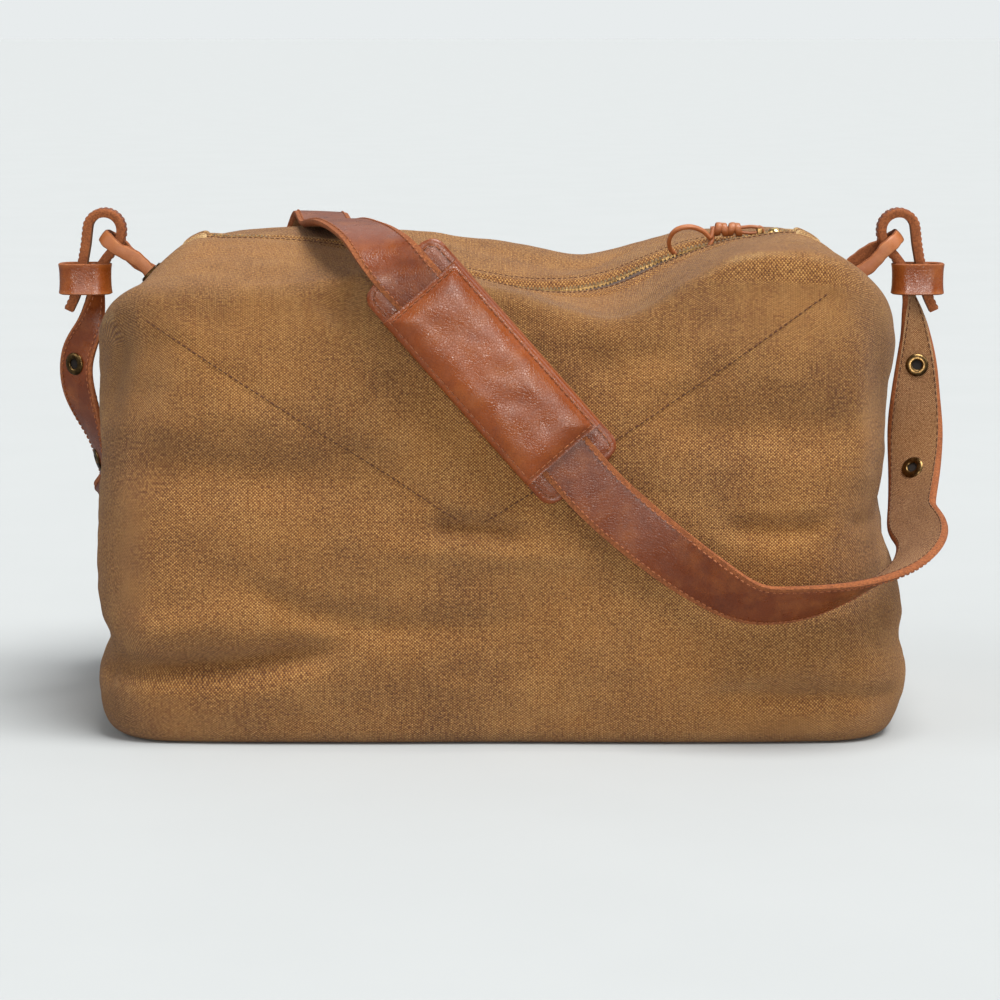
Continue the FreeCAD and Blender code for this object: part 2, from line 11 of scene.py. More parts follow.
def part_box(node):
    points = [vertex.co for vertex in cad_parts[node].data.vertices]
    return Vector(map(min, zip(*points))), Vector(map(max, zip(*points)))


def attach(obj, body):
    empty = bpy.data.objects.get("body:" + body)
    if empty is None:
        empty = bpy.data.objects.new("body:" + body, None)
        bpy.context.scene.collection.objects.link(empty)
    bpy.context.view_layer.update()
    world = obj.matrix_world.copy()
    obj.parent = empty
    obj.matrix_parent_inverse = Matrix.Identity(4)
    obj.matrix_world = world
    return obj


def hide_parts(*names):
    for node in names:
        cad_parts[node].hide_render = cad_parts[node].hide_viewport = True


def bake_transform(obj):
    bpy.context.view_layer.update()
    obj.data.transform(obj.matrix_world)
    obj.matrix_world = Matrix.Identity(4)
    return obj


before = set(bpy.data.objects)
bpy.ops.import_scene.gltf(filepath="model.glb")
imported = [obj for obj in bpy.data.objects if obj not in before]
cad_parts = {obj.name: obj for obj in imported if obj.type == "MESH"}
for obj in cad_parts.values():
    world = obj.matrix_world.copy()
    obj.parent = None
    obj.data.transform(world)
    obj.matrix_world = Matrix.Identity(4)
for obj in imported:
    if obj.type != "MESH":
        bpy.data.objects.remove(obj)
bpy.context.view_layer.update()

# Canvas duffel bag. Shapes are worked out in millimetres and written to the meshes in metres.
MM = 0.001

HALF_X = (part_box("front_panel")[1][0] + 0.060) * 1000
HALF_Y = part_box("back_panel")[1][1] * 1000
TOP_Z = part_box("top_panel_front")[1][2] * 1000
SLIDER_X = 0.5 * (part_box("slider_body")[0][0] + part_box("slider_body")[1][0]) * 1000
ZIP_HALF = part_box("zip_tape_front")[1][0] * 1000

# ------------------------------------------------------------------ small helpers


def curve(points):
    """A smooth function through (x, value) points: cubic Hermite with averaged slopes."""
    xs = np.array([p[0] for p in points], float)
    ys = np.array([p[1] for p in points], float)
    slopes = np.gradient(ys, xs)

    def value(x):
        x = np.clip(x, xs[0], xs[-1])
        i = np.clip(np.searchsorted(xs, x) - 1, 0, len(xs) - 2)
        h = xs[i + 1] - xs[i]
        t = (x - xs[i]) / h
        return ((2 * t**3 - 3 * t**2 + 1) * ys[i] + (t**3 - 2 * t**2 + t) * h * slopes[i]
                + (3 * t**2 - 2 * t**3) * ys[i + 1] + (t**3 - t**2) * h * slopes[i + 1])
    return value


def smooth_max(a, b, k):
    h = np.clip(0.5 + 0.5 * (a - b) / k, 0, 1)
    return b + (a - b) * h + k * h * (1 - h)


def line_distance(u, v, points):
    """Distance from (u, v) to a polyline, and the share of its length at the nearest point."""
    best = np.full(np.shape(u), 1e9)
    share = np.zeros(np.shape(u))
    lengths = [math.dist(a, b) for a, b in zip(points, points[1:])]
    done = 0.0
    for (a, b), length in zip(zip(points, points[1:]), lengths):
        du, dv = (b[0] - a[0]) / length, (b[1] - a[1]) / length
        t = np.clip((u - a[0]) * du + (v - a[1]) * dv, 0, length)
        d = np.hypot(u - a[0] - t * du, v - a[1] - t * dv)
        near = d < best
        best = np.where(near, d, best)
        share = np.where(near, (done + t) / sum(lengths), share)
        done += length
    return best, share


def fold(u, v, points, depth, width, open_start=False, open_end=False):
    """A valley along a polyline that fades at its ends, unless an end is open."""
    d, s = line_distance(u, v, points)
    fade = np.ones(np.shape(u))
    if not open_start:
        fade = fade * np.clip(s / 0.3, 0, 1)
    if not open_end:
        fade = fade * np.clip((1 - s) / 0.3, 0, 1)
    fade = fade * fade * (3 - 2 * fade)
    return -depth * fade * np.exp(-((d / width) ** 2))


def rumple(x, y, z, size, seed):
    """Soft cloth unevenness between -1 and 1 at each point."""
    return np.array([perlin(Vector((a / size + seed, b / size, c / size)))
                     for a, b, c in zip(x, y, z)])


def unit_rows(vectors):
    return vectors / np.linalg.norm(vectors, axis=1)[:, None]


def distance_along(points):
    """How far along the line each of its points is."""
    return np.concatenate([[0], np.cumsum(np.linalg.norm(np.diff(points, axis=0), axis=1))])


def corner_uv(cloth, faces):
    """Each face corner's place in the cloth, from each point's place."""
    return [cloth[q] for face in faces for q in face]


def new_object(name, verts, faces, materials, face_material=None, uv=None, sharp=None):
    mesh = bpy.data.meshes.new(name)
    mesh.from_pydata([tuple(v) for v in np.asarray(verts) * MM], [], [tuple(f) for f in faces])
    for material in materials:
        mesh.materials.append(material)
    if face_material is not None:
        mesh.polygons.foreach_set("material_index", np.asarray(face_material, np.int32))
    if uv is not None:
        layer = mesh.uv_layers.new(name="cloth")
        layer.data.foreach_set("uv", (np.asarray(uv, np.float32) * MM).ravel())
    mesh.polygons.foreach_set("use_smooth", [True] * len(mesh.polygons))
    if sharp is not None:
        mesh.set_sharp_from_angle(angle=math.radians(sharp))
    mesh.update()
    obj = bpy.data.objects.new(name, mesh)
    bpy.context.scene.collection.objects.link(obj)
    return obj


# ------------------------------------------------------------------ the bag's soft shape

FRONT_BY_Z = curve([(0, 115), (30, 120), (90, 123), (170, 121.5), (230, 117), (270, 111), (300, 108)])
FRONT_BY_X = curve([(-250, -8), (-200, -2), (-100, 1), (0, 0), (100, 1), (190, -1.5), (250, -8)])
BACK_BY_Z = curve([(0, 114), (30, 118), (100, 121), (180, 121), (240, 117), (300, 110)])
LEFT_BY_Z = curve([(0, 225), (10, 231), (28, 235), (49, 231), (78, 233), (110, 233), (160, 232),
                   (190, 231.5), (222, 231), (250, 229.5), (265, 226), (300, 214)])
RIGHT_BY_Z = curve([(0, 224), (16, 231), (41, 235), (66, 234.5), (90, 230), (128, 225.5),
                    (190, 225), (240, 224.5), (262, 221.5), (280, 215), (300, 204)])
END_PILLOW = 13.0       # how far the middle of each end stands past its corners
TOP_FRONT = curve([(-262, 205), (-248, 232), (-236, 252), (-225, 263), (-190, 267), (-140, 269),
                   (-80, 274), (-30, 274), (10, 269), (40, 260), (65, 255.5), (85, 263), (105, 277),
                   (130, 288), (160, 291), (192, 288), (212, 279), (228, 262), (240, 240),
                   (262, 200)])
TOP_ZIP = curve([(-262, 190), (-248, 222), (-236, 246), (-218, 266), (-203, 281), (-190, 290),
                 (-165, 291.2), (-125, 290), (-63, 280), (-24, 269), (24, 260), (65, 265), (91, 276),
                 (117, 285.5), (148, 291), (190, 291.2), (203, 283), (218, 268), (236, 246),
                 (248, 222), (262, 190)])
TOP_BACK = curve([(-262, 195), (-248, 225), (-236, 248), (-218, 266), (-190, 283), (-140, 290),
                  (-100, 291), (-70, 289), (0, 279), (60, 270), (100, 280), (140, 289),
                  (190, 286), (216, 268), (236, 248), (248, 225), (262, 195)])

CORE_DEPTH = 58.0       # the rays that find the surface start this far inside the block
BOTTOM_ROUND = 9.0
CORNER_ROUND = 30.0
PRESSED_ROUND = 66.0    # the corners that the strap passes round are pressed softer
PRESSED_Z = (36.0, 92.0, 188.0)
TOP_ROUND = 8.0
ZIP_GROOVE = 4.2
ZIP_TILT = 0.20         # slope of the zip towards the front where the top sags

# The two slanting seams on the front, and turned round on the back: (x, z) of each.
V_SEAMS = ([(-206, 251), (-146, 212), (-44, 147), (-22, 133)],
           [(189, 266), (130, 225), (75, 188), (-13, 132)])


# Each fold is a line on the cloth, its depth and width, and whether its start and end are open.
# A depth below zero is a ridge.
FRONT_FOLDS = [
    ([(-236, 168), (-160, 164), (-90, 160), (-20, 152)], 8.5, 19, True),
    ([(-52, 131), (-30, 129), (-8, 128), (22, 124)], 8.0, 8),
    ([(-90, 116), (-20, 119), (60, 112)], -3.0, 10),
    ([(-186, 106), (-140, 91), (-110, 79), (-60, 71), (30, 75)], 4.5, 9),
    ([(-238, 47), (-205, 46), (-160, 48), (-118, 55), (-80, 60)], 12.5, 9, True),
    ([(-235, 68), (-190, 70), (-140, 76)], -3.5, 12, True),
    ([(-240, 44), (-226, 38)], 4.0, 5, True),
    ([(80, 186), (150, 190), (222, 186)], 5.5, 16),
    ([(120, 132), (160, 129), (196, 132)], 4.5, 7),
    ([(200, 132), (224, 130)], 3.0, 5, False, True),
    ([(110, 34), (160, 30), (228, 28)], 4.0, 7, False, True),
    ([(150, 56), (200, 50)], -2.0, 13),
    ([(-104, 250), (-92, 262), (-84, 275)], 4.0, 10, False, True),
    ([(-216, 262), (-222, 225), (-232, 190)], 3.0, 5),
    ([(-205, 250), (-214, 215), (-226, 175)], -2.2, 6),
    ([(216, 262), (222, 210), (221, 150), (226, 110)], 3.4, 6),
    ([(206, 240), (212, 190), (211, 140)], -2.0, 7),
    ([(30, 232), (66, 224), (110, 236)], 3.0, 11),
]
FRONT_FOLDS += [(seam, 1.0, 5.0, True, True) for seam in V_SEAMS]
BACK_FOLDS = [
    ([(236, 168), (150, 160), (60, 158)], 5.0, 16, True),
    ([(-236, 150), (-160, 156), (-70, 150)], 4.5, 15, True),
    ([(-238, 48), (-190, 52), (-110, 60)], 7.0, 9, True),
    ([(238, 42), (180, 48), (90, 56)], 6.0, 10, True),
    ([(-60, 96), (10, 88), (90, 98)], 3.0, 9),
    ([(20, 222), (70, 206), (140, 216)], 3.0, 11),
]
TOP_FOLDS = [
    ([(-70, -70), (-30, -52), (20, -38), (60, -30)], 2.5, 13),
    ([(-40, 60), (20, 46), (70, 30)], 3.0, 14),
    ([(90, 70), (60, 52), (48, 30)], 3.0, 9),
]


def end_folds(side):
    return [
        ([(-110, 60), (-40, 52), (30, 55), (100, 64)], 4.5, 11, True, True),
        ([(-100, 178), (-20, 170), (90, 176)], 3.0, 18),
        ([(-70 * side, 232), (-30 * side, 200), (-36 * side, 160)], 3.5, 8),
        ([(60 * side, 236), (40 * side, 205), (55 * side, 150)], 3.0, 9),
        ([(-60, 112), (0, 104), (50, 118)], 2.4, 9),
    ]


def folded(u, v, folds):
    """How far all the folds together move the cloth at (u, v)."""
    return sum(fold(u, v, *values) for values in folds)


def ease(x, low, high):
    t = np.clip((x - low) / (high - low), 0, 1)
    return t * t * (3 - 2 * t)


def sagging(x):
    """1 along the stretch of zip that sags and turns to the front, 0 beyond it."""
    return ease(x, -30, 30) * (1 - ease(x, 112, 148))


def top_height(x, y):
    front, middle, back = TOP_FRONT(x), TOP_ZIP(x), TOP_BACK(x)
    s = np.clip((y + 112) / 112, 0, 1)
    domed = np.sin(s * math.pi / 2)
    hollow = s ** 1.7 - 0.35 * np.sin(s * math.pi)
    share = sagging(x)
    forward = front + (middle - front) * (domed + (hollow - domed) * share)
    t = np.clip(y / 100, 0, 1)
    rearward = middle + (back - middle) * t * t * (3 - 2 * t)
    rearward = rearward + 5.0 * np.sin(t * math.pi) * np.clip(1 - np.abs(x) / 230, 0, 1)
    height = np.where(y < 0, forward, rearward)
    ends = np.clip((ZIP_HALF + 8 - np.abs(x)) / 8, 0, 1)
    height = height - ZIP_GROOVE * ends * np.exp(-((y / 5.8) ** 4)) * (1 - 0.2 * share)
    lips = np.exp(-(((np.abs(y) - 8.6) / 2.8) ** 2))
    height = height + 1.2 * ends * lips * np.where(y < 0, 1 - 0.8 * share, 1)
    height = height + ZIP_TILT * share * np.clip(y, -16, 16) * ends
    return height + folded(x, y, TOP_FOLDS)


def strap_press(y, z):
    """How far the strap presses an end in where it bends round the corner."""
    return 8.0 * np.exp(-((y - 44) / 42) ** 2 - ((z - 132) / 34) ** 2)


def outside(p):
    """Positive outside the bag and negative inside, close to the distance in mm."""
    x, y, z = p[:, 0], p[:, 1], p[:, 2]
    front = -y - (FRONT_BY_Z(z) + FRONT_BY_X(x) + folded(x, z, FRONT_FOLDS))
    back = y - (BACK_BY_Z(z) + FRONT_BY_X(x) + folded(x, z, BACK_FOLDS))
    pillow = END_PILLOW * np.clip(1 - (y / 118) ** 2, 0, 1)
    slack = 3.5 * ease(z, 100, 140) * (1 - ease(z, 205, 240))
    right = x - (RIGHT_BY_Z(z) - slack + pillow - strap_press(-y, z) + folded(y, z, end_folds(1)))
    left = -x - (LEFT_BY_Z(z) + pillow - strap_press(y, z) + folded(y, z, end_folds(-1)))
    top = z - top_height(x, y)
    low, middle, high = PRESSED_Z
    pressed = np.where(x * y < 0, 1.0, 0.25) * ease(z, low, middle) * (1 - ease(z, middle, high))
    dented = np.where((x < 0) & (y < 0), 1.0, 0.0) * ease(z, 165, 212) * (1 - ease(z, 232, 256))
    corner = CORNER_ROUND + (PRESSED_ROUND - CORNER_ROUND) * np.maximum(pressed, dented)
    sides = smooth_max(smooth_max(front, back, 5), smooth_max(left, right, 5), corner)
    upper = smooth_max(sides, top, TOP_ROUND)
    return smooth_max(upper, -z, BOTTOM_ROUND)


def spaced(low, high, step):
    return list(np.linspace(low, high, max(2, int(round((high - low) / step)) + 1)))


def block_grid(step, fine):
    """Surface of a box as quads: positions on it, faces, and each corner's place in the cloth."""
    xs = spaced(-HALF_X, HALF_X, step)
    near = 18.0
    ys = spaced(-HALF_Y, -near, step)[:-1] + spaced(-near, near, fine)[:-1] + spaced(near, HALF_Y, step)
    zs = spaced(0, TOP_Z, step)
    index = {}
    points = []
    faces = []
    cloth = []

    def vertex(p):
        key = (round(p[0], 3), round(p[1], 3), round(p[2], 3))
        if key not in index:
            index[key] = len(points)
            points.append(p)
        return index[key]

    def side(a, b, place, flat, flip):
        for i in range(len(a) - 1):
            for j in range(len(b) - 1):
                quad = [(a[i], b[j]), (a[i + 1], b[j]), (a[i + 1], b[j + 1]), (a[i], b[j + 1])]
                if flip:
                    quad.reverse()
                faces.append([vertex(place(*c)) for c in quad])
                cloth.extend(flat(*c) for c in quad)

    around = 2 * HALF_X + 2 * HALF_Y
    side(xs, zs, lambda a, b: (a, -HALF_Y, b), lambda a, b: (a, b), False)
    side(xs, zs, lambda a, b: (a, HALF_Y, b), lambda a, b: (around - a, b), True)
    side(ys, zs, lambda a, b: (HALF_X, a, b), lambda a, b: (HALF_X + HALF_Y + a, b), False)
    side(ys, zs, lambda a, b: (-HALF_X, a, b), lambda a, b: (-HALF_X - HALF_Y - a, b), True)
    side(xs, ys, lambda a, b: (a, b, TOP_Z), lambda a, b: (a, TOP_Z + HALF_Y + b), False)
    side(xs, ys, lambda a, b: (a, b, 0), lambda a, b: (a, -HALF_Y - b), True)
    return np.array(points), faces, cloth


def settle(points, inset=0.0):
    """Moves box points out along rays from the block's core to the bag's surface."""
    low = np.array([-HALF_X + CORE_DEPTH, -HALF_Y + CORE_DEPTH, CORE_DEPTH])
    high = np.array([HALF_X - CORE_DEPTH, HALF_Y - CORE_DEPTH, TOP_Z - CORE_DEPTH - 40])
    core = np.clip(points, low, high)
    ray = unit_rows(points - core)
    near = np.zeros(len(points))
    far = np.full(len(points), 130.0)
    for _ in range(26):
        middle = (near + far) / 2
        out = outside(core + ray * middle[:, None]) + inset > 0
        far = np.where(out, middle, far)
        near = np.where(out, near, middle)
    return core + ray * near[:, None], ray


def wrinkle(points, ray):
    """Small soft unevenness of the cloth, fading out on the base."""
    x, y, z = points.T
    lift = np.clip((z - 4) / 20, 0, 1)
    big = rumple(x * 0.6, y * 0.8, z * 1.25, 46, 3.1)
    mid = rumple(x * 0.7, y, z * 1.5, 17, 11.7)
    fine = rumple(x, y, z * 1.3, 7.5, 23.3)
    calm = np.where((np.abs(y) < 14) & (z > 240), 0.15, 1.0)
    height = (2.2 * big + 0.75 * mid + 0.22 * fine) * lift * calm
    return points + ray * height[:, None]


def make_bag(canvas, lining_cloth):
    step = 3.0
    points, faces, cloth = block_grid(step, step / 2)
    points, ray = settle(points)
    points = wrinkle(points, ray)
    points[:, 2] = np.maximum(points[:, 2], 0.0)
    bag = new_object("canvas_body", points, faces, [canvas], uv=cloth)
    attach(bag, "bag")
    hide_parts("front_panel", "back_panel", "end_panel_left", "end_panel_right",
                "base_panel", "top_panel_front", "top_panel_back")
    inner, inner_faces, inner_cloth = block_grid(9.0, 9.0)
    inner, _ = settle(inner, 5.0)
    lining = new_object("lining_bag", inner, inner_faces, [lining_cloth], uv=inner_cloth)
    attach(lining, "bag")
    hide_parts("lining")
    return BVHTree.FromPolygons([Vector(p) for p in points], faces)


# ------------------------------------------------------------------ ribbons, stitches and cords

def resample(stops, step):
    """Dense points along stops of (point, look, width), with even spacing.

    A stop that gives no width has the whole strap's.
    """
    points = np.array([s[0] for s in stops], float)
    looks = unit_rows(np.array([s[1] for s in stops], float))
    widths = np.array([s[2] if len(s) > 2 else STRAP_WIDTH for s in stops], float)
    chord = distance_along(points)
    rows = np.column_stack([points, looks, widths])
    columns = [curve(list(zip(chord, rows[:, i]))) for i in range(rows.shape[1])]
    t = np.linspace(0, chord[-1], int(chord[-1] / 1.0))
    dense = np.column_stack([c(t) for c in columns])
    travelled = distance_along(dense[:, :3])
    even = np.linspace(0, travelled[-1], max(4, int(round(travelled[-1] / step)) + 1))
    dense = np.column_stack([np.interp(even, travelled, dense[:, i]) for i in range(dense.shape[1])])
    return dense[:, :3], dense[:, 3:6], dense[:, 6], even


def section_frames(points, looks):
    """Directions across the line and out of its face at each point."""
    along = unit_rows(np.gradient(points, axis=0))
    across = unit_rows(np.cross(along, looks))
    return across, np.cross(across, along)


def relax(points, rounds):
    """Evens out a line in place; its two ends stay."""
    for _ in range(rounds):
        points[1:-1] = 0.5 * points[1:-1] + 0.25 * (points[:-2] + points[2:])


LAY_ROUNDS = 6
LAY_FAR = 40.0           # cloth further off than this is some other part of the bag
LAY_STEP = 12.0          # a point moves no more than this in one round
LAY_REACH = 6            # a point's move also carries this many neighbours on each side
LAY_SPREAD = 2.6
LAY_SHARE = 2.2


def lay_on(tree, points, looks, widths, clearance):
    """Pushes the strip straight out of the cloth where it would enter it, and settles the result."""
    points = points.copy()
    weights = np.exp(-(np.arange(-LAY_REACH, LAY_REACH + 1) / LAY_SPREAD) ** 2)
    rest = np.zeros((LAY_REACH, 3))
    for _ in range(LAY_ROUNDS):
        across, out = section_frames(points, looks)
        push = np.zeros(len(points))
        away = out.copy()
        for share in (-0.5, -0.25, 0.0, 0.25, 0.5):
            for i, p in enumerate(points + across * (widths * share)[:, None]):
                hit, normal, _, distance = tree.find_nearest(Vector(p))
                if hit is None or distance > LAY_FAR:
                    continue
                short = clearance - (Vector(p) - hit).dot(normal)
                if short > push[i]:
                    push[i] = short
                    away[i] = normal
        if push.max() < 0.05:
            break
        move = away * np.clip(push, 0, LAY_STEP)[:, None]
        padded = np.concatenate([rest, move, rest])
        eased = sum(w * padded[k:k + len(move)] for k, w in enumerate(weights)) / LAY_SHARE
        longer = np.linalg.norm(move, axis=1) > np.linalg.norm(eased, axis=1)
        points = points + np.where(longer[:, None], move, eased)
        relax(points, 8)
    relax(points, 10)
    return points


def loft_faces(kinds, sections):
    """Faces and their materials round closed sections of equal count, with the two ends shut."""
    count = len(kinds)
    faces = []
    kind = []
    for i in range(sections - 1):
        for j in range(count):
            k = (j + 1) % count
            faces.append([i * count + j, i * count + k, (i + 1) * count + k, (i + 1) * count + j])
            kind.append(kinds[j] if kinds[j] == kinds[k] else 1)
    faces.append(list(range(count))[::-1])
    faces.append([(sections - 1) * count + j for j in range(count)])
    return faces, kind + [1, 1]


def ribbon(name, points, looks, widths, run, face_thick, back_thick, materials, crown=0.25):
    """Flat strip of two layers: face material 0 outside, 1 on the cut edges, 2 on the back."""
    across, out = section_frames(points, looks)
    columns = 9
    face = [-0.5 + (i + 0.5) / columns for i in range(columns)]
    outline = []
    kinds = []
    for s in face:
        outline.append((s * 0.955, face_thick + crown * (1 - (2 * s) ** 2), 0.0))
        kinds.append(0)
    outline += [(0.5, face_thick * 0.86, -0.22), (0.5, face_thick * 0.45, 0.0), (0.5, 0.06, -0.2)]
    kinds += [1, 1, 1]
    for s in reversed(face):
        outline.append((s * 0.955, -back_thick, 0.0))
        kinds.append(2)
    outline += [(-0.5, 0.06, 0.2), (-0.5, face_thick * 0.45, 0.0), (-0.5, face_thick * 0.86, 0.22)]
    kinds += [1, 1, 1]
    verts = []
    cloth = []
    for p, a, o, w, r in zip(points, across, out, widths, run):
        for s, h, inset in outline:
            verts.append(p + a * (s * w + inset) + o * h)
            cloth.append((s * w, r))
    faces, kind = loft_faces(kinds, len(points))
    uv = corner_uv(cloth, faces)
    return new_object(name, verts, faces, materials, kind, uv, sharp=50)


def capsule_mesh():
    """A stitch lying along X, one unit long and one unit high, as points and faces."""
    rings = [(-0.5, 0.35), (-0.36, 0.8), (-0.12, 1.0), (0.12, 1.0), (0.36, 0.8), (0.5, 0.35)]
    sides = 6
    points = [(x, r * 0.5 * math.cos(2 * math.pi * k / sides), r * 0.5 * math.sin(2 * math.pi * k / sides))
              for x, r in rings for k in range(sides)]
    return np.array(points), loft_faces([0] * sides, len(rings))[0]


def stitches(name, rows, material, pitch=3.6, length=2.7, thick=0.75):
    """Thread along rows of (points, outward directions): one short raised stitch after another."""
    shape, shape_faces = capsule_mesh()
    verts = []
    faces = []
    for line, outs in rows:
        line = np.asarray(line, float)
        outs = np.asarray(outs, float)
        travelled = distance_along(line)
        count = int(travelled[-1] / pitch)
        for n in range(count):
            at = (n + 0.5) * pitch
            ends = [np.array([np.interp(at + d, travelled, line[:, c]) for c in range(3)])
                    for d in (-length / 2, length / 2)]
            out = np.array([np.interp(at, travelled, outs[:, c]) for c in range(3)])
            way = ends[1] - ends[0]
            size = np.linalg.norm(way)
            if size < 1e-6:
                continue
            way = way / size
            up = out - way * out.dot(way)
            up /= np.linalg.norm(up)
            side = np.cross(up, way)
            centre = (ends[0] + ends[1]) / 2 + up * (thick * 0.12)
            base = len(verts)
            for x, y, z in shape:
                verts.append(centre + way * (x * size) + side * (y * thick) + up * (z * thick))
            faces.extend([[base + q for q in f] for f in shape_faces])
    return new_object(name, verts, faces, [material])


def tube(name, points, radius, material, flat=1.0, up=(0, 0, 1), sides=12, rough=0.0, seed=0.0):
    """A closed cord along the points; flat is its size towards up as a share of its width."""
    points = np.asarray(points, float)
    across, out = section_frames(points, up)
    verts = []
    uv_at = []
    run = distance_along(points)
    for i, p in enumerate(points):
        for k in range(sides):
            a = 2 * math.pi * k / sides
            # Squared-off section, as a strip of hide has.
            c, s = math.cos(a), math.sin(a)
            c, s = math.copysign(abs(c) ** 0.7, c), math.copysign(abs(s) ** 0.7, s)
            r = radius
            if rough:
                r += rough * perlin(Vector((run[i] / 3.0 + seed, c * 2, s * 2)))
            verts.append(p + across[i] * (c * r) + out[i] * (s * r * flat))
            uv_at.append((a * radius, run[i]))
    faces, _ = loft_faces([0] * sides, len(points))
    uv = corner_uv(uv_at, faces)
    return new_object(name, verts, faces, [material], uv=uv, sharp=60)


def smooth_line(points, step=1.5):
    stops = [(p, (0, 0, 1), 1) for p in points]
    return resample(stops, step)[0]


# ------------------------------------------------------------------ materials

def srgb(r, g, b):
    def linear(c):
        c /= 255
        return c / 12.92 if c <= 0.04045 else ((c + 0.055) / 1.055) ** 2.4
    return (linear(r), linear(g), linear(b), 1.0)


class Nodes:
    """Short calls for building one material's node tree."""

    def __init__(self, name):
        self.material = bpy.data.materials.new(name)
        self.material.use_nodes = True
        self.tree = self.material.node_tree
        self.shader = self.tree.nodes["Principled BSDF"]

    def node(self, kind, **values):
        made = self.tree.nodes.new(kind)
        for key, value in values.items():
            setattr(made, key, value)
        return made

    def link(self, source, target):
        self.tree.links.new(source, target)

    def value(self, socket, given):
        if hasattr(given, "links"):
            self.link(given, socket)
        else:
            socket.default_value = given

    def math(self, operation, a, b=0.0):
        made = self.node("ShaderNodeMath", operation=operation)
        self.value(made.inputs[0], a)
        self.value(made.inputs[1], b)
        return made.outputs[0]

    def mix(self, share, a, b, blend="MIX"):
        made = self.node("ShaderNodeMix", data_type="RGBA", blend_type=blend)
        self.value(made.inputs["Factor"], share)
        self.value(made.inputs[6], a)
        self.value(made.inputs[7], b)
        return made.outputs[2]

    def ramp(self, given, low, high, out_low=0.0, out_high=1.0):
        made = self.node("ShaderNodeMapRange", clamp=True)
        self.value(made.inputs["Value"], given)
        made.inputs["From Min"].default_value = low
        made.inputs["From Max"].default_value = high
        made.inputs["To Min"].default_value = out_low
        made.inputs["To Max"].default_value = out_high
        return made.outputs["Result"]

    def coords(self, which):
        return self.node("ShaderNodeTexCoord").outputs[which]

    def noise(self, vector, scale, detail=4.0, roughness=0.55, stretch=None):
        if stretch:
            mapping = self.node("ShaderNodeMapping")
            mapping.inputs["Scale"].default_value = stretch
            self.link(vector, mapping.inputs["Vector"])
            vector = mapping.outputs[0]
        made = self.node("ShaderNodeTexNoise")
        made.inputs["Scale"].default_value = scale
        made.inputs["Detail"].default_value = detail
        made.inputs["Roughness"].default_value = roughness
        self.link(vector, made.inputs["Vector"])
        return made.outputs[0]

    def bump(self, height, strength, distance, normal=None):
        made = self.node("ShaderNodeBump")
        made.inputs["Strength"].default_value = strength
        made.inputs["Distance"].default_value = distance
        self.link(height, made.inputs["Height"])
        if normal is not None:
            self.link(normal, made.inputs["Normal"])
        return made.outputs[0]

    def finish(self, colour, roughness, normal=None, **sockets):
        self.value(self.shader.inputs["Base Color"], colour)
        self.value(self.shader.inputs["Roughness"], roughness)
        if normal is not None:
            self.link(normal, self.shader.inputs["Normal"])
        for key, value in sockets.items():
            self.shader.inputs[key.replace("_", " ")].default_value = value
        return self.material


def weave_height(n, uv, pitch, slub):
    """Plain weave of uneven threads along U and V: its height, and where one way lies on top."""
    separate = n.node("ShaderNodeSeparateXYZ")
    n.link(uv, separate.inputs[0])
    wander = n.math("MULTIPLY", n.math("SUBTRACT", n.noise(uv, 240, 2, stretch=(1, 0.25, 1)), 0.5), slub)
    u = n.math("MULTIPLY", n.math("ADD", separate.outputs[0], n.math("MULTIPLY", wander, pitch)),
               math.pi / pitch)
    v = n.math("MULTIPLY", n.math("ADD", separate.outputs[1], n.math("MULTIPLY", wander, pitch)),
               math.pi / (pitch * 0.9))
    warp = n.math("ABSOLUTE", n.math("SINE", u))
    weft = n.math("ABSOLUTE", n.math("SINE", v))
    crossing = n.math("MULTIPLY", n.math("SINE", u), n.math("SINE", v))
    over = n.ramp(crossing, -0.5, 0.5)
    mixed = n.node("ShaderNodeMix", data_type="FLOAT")
    n.value(mixed.inputs["Factor"], over)
    n.value(mixed.inputs[2], warp)
    n.value(mixed.inputs[3], weft)
    return mixed.outputs[0], over


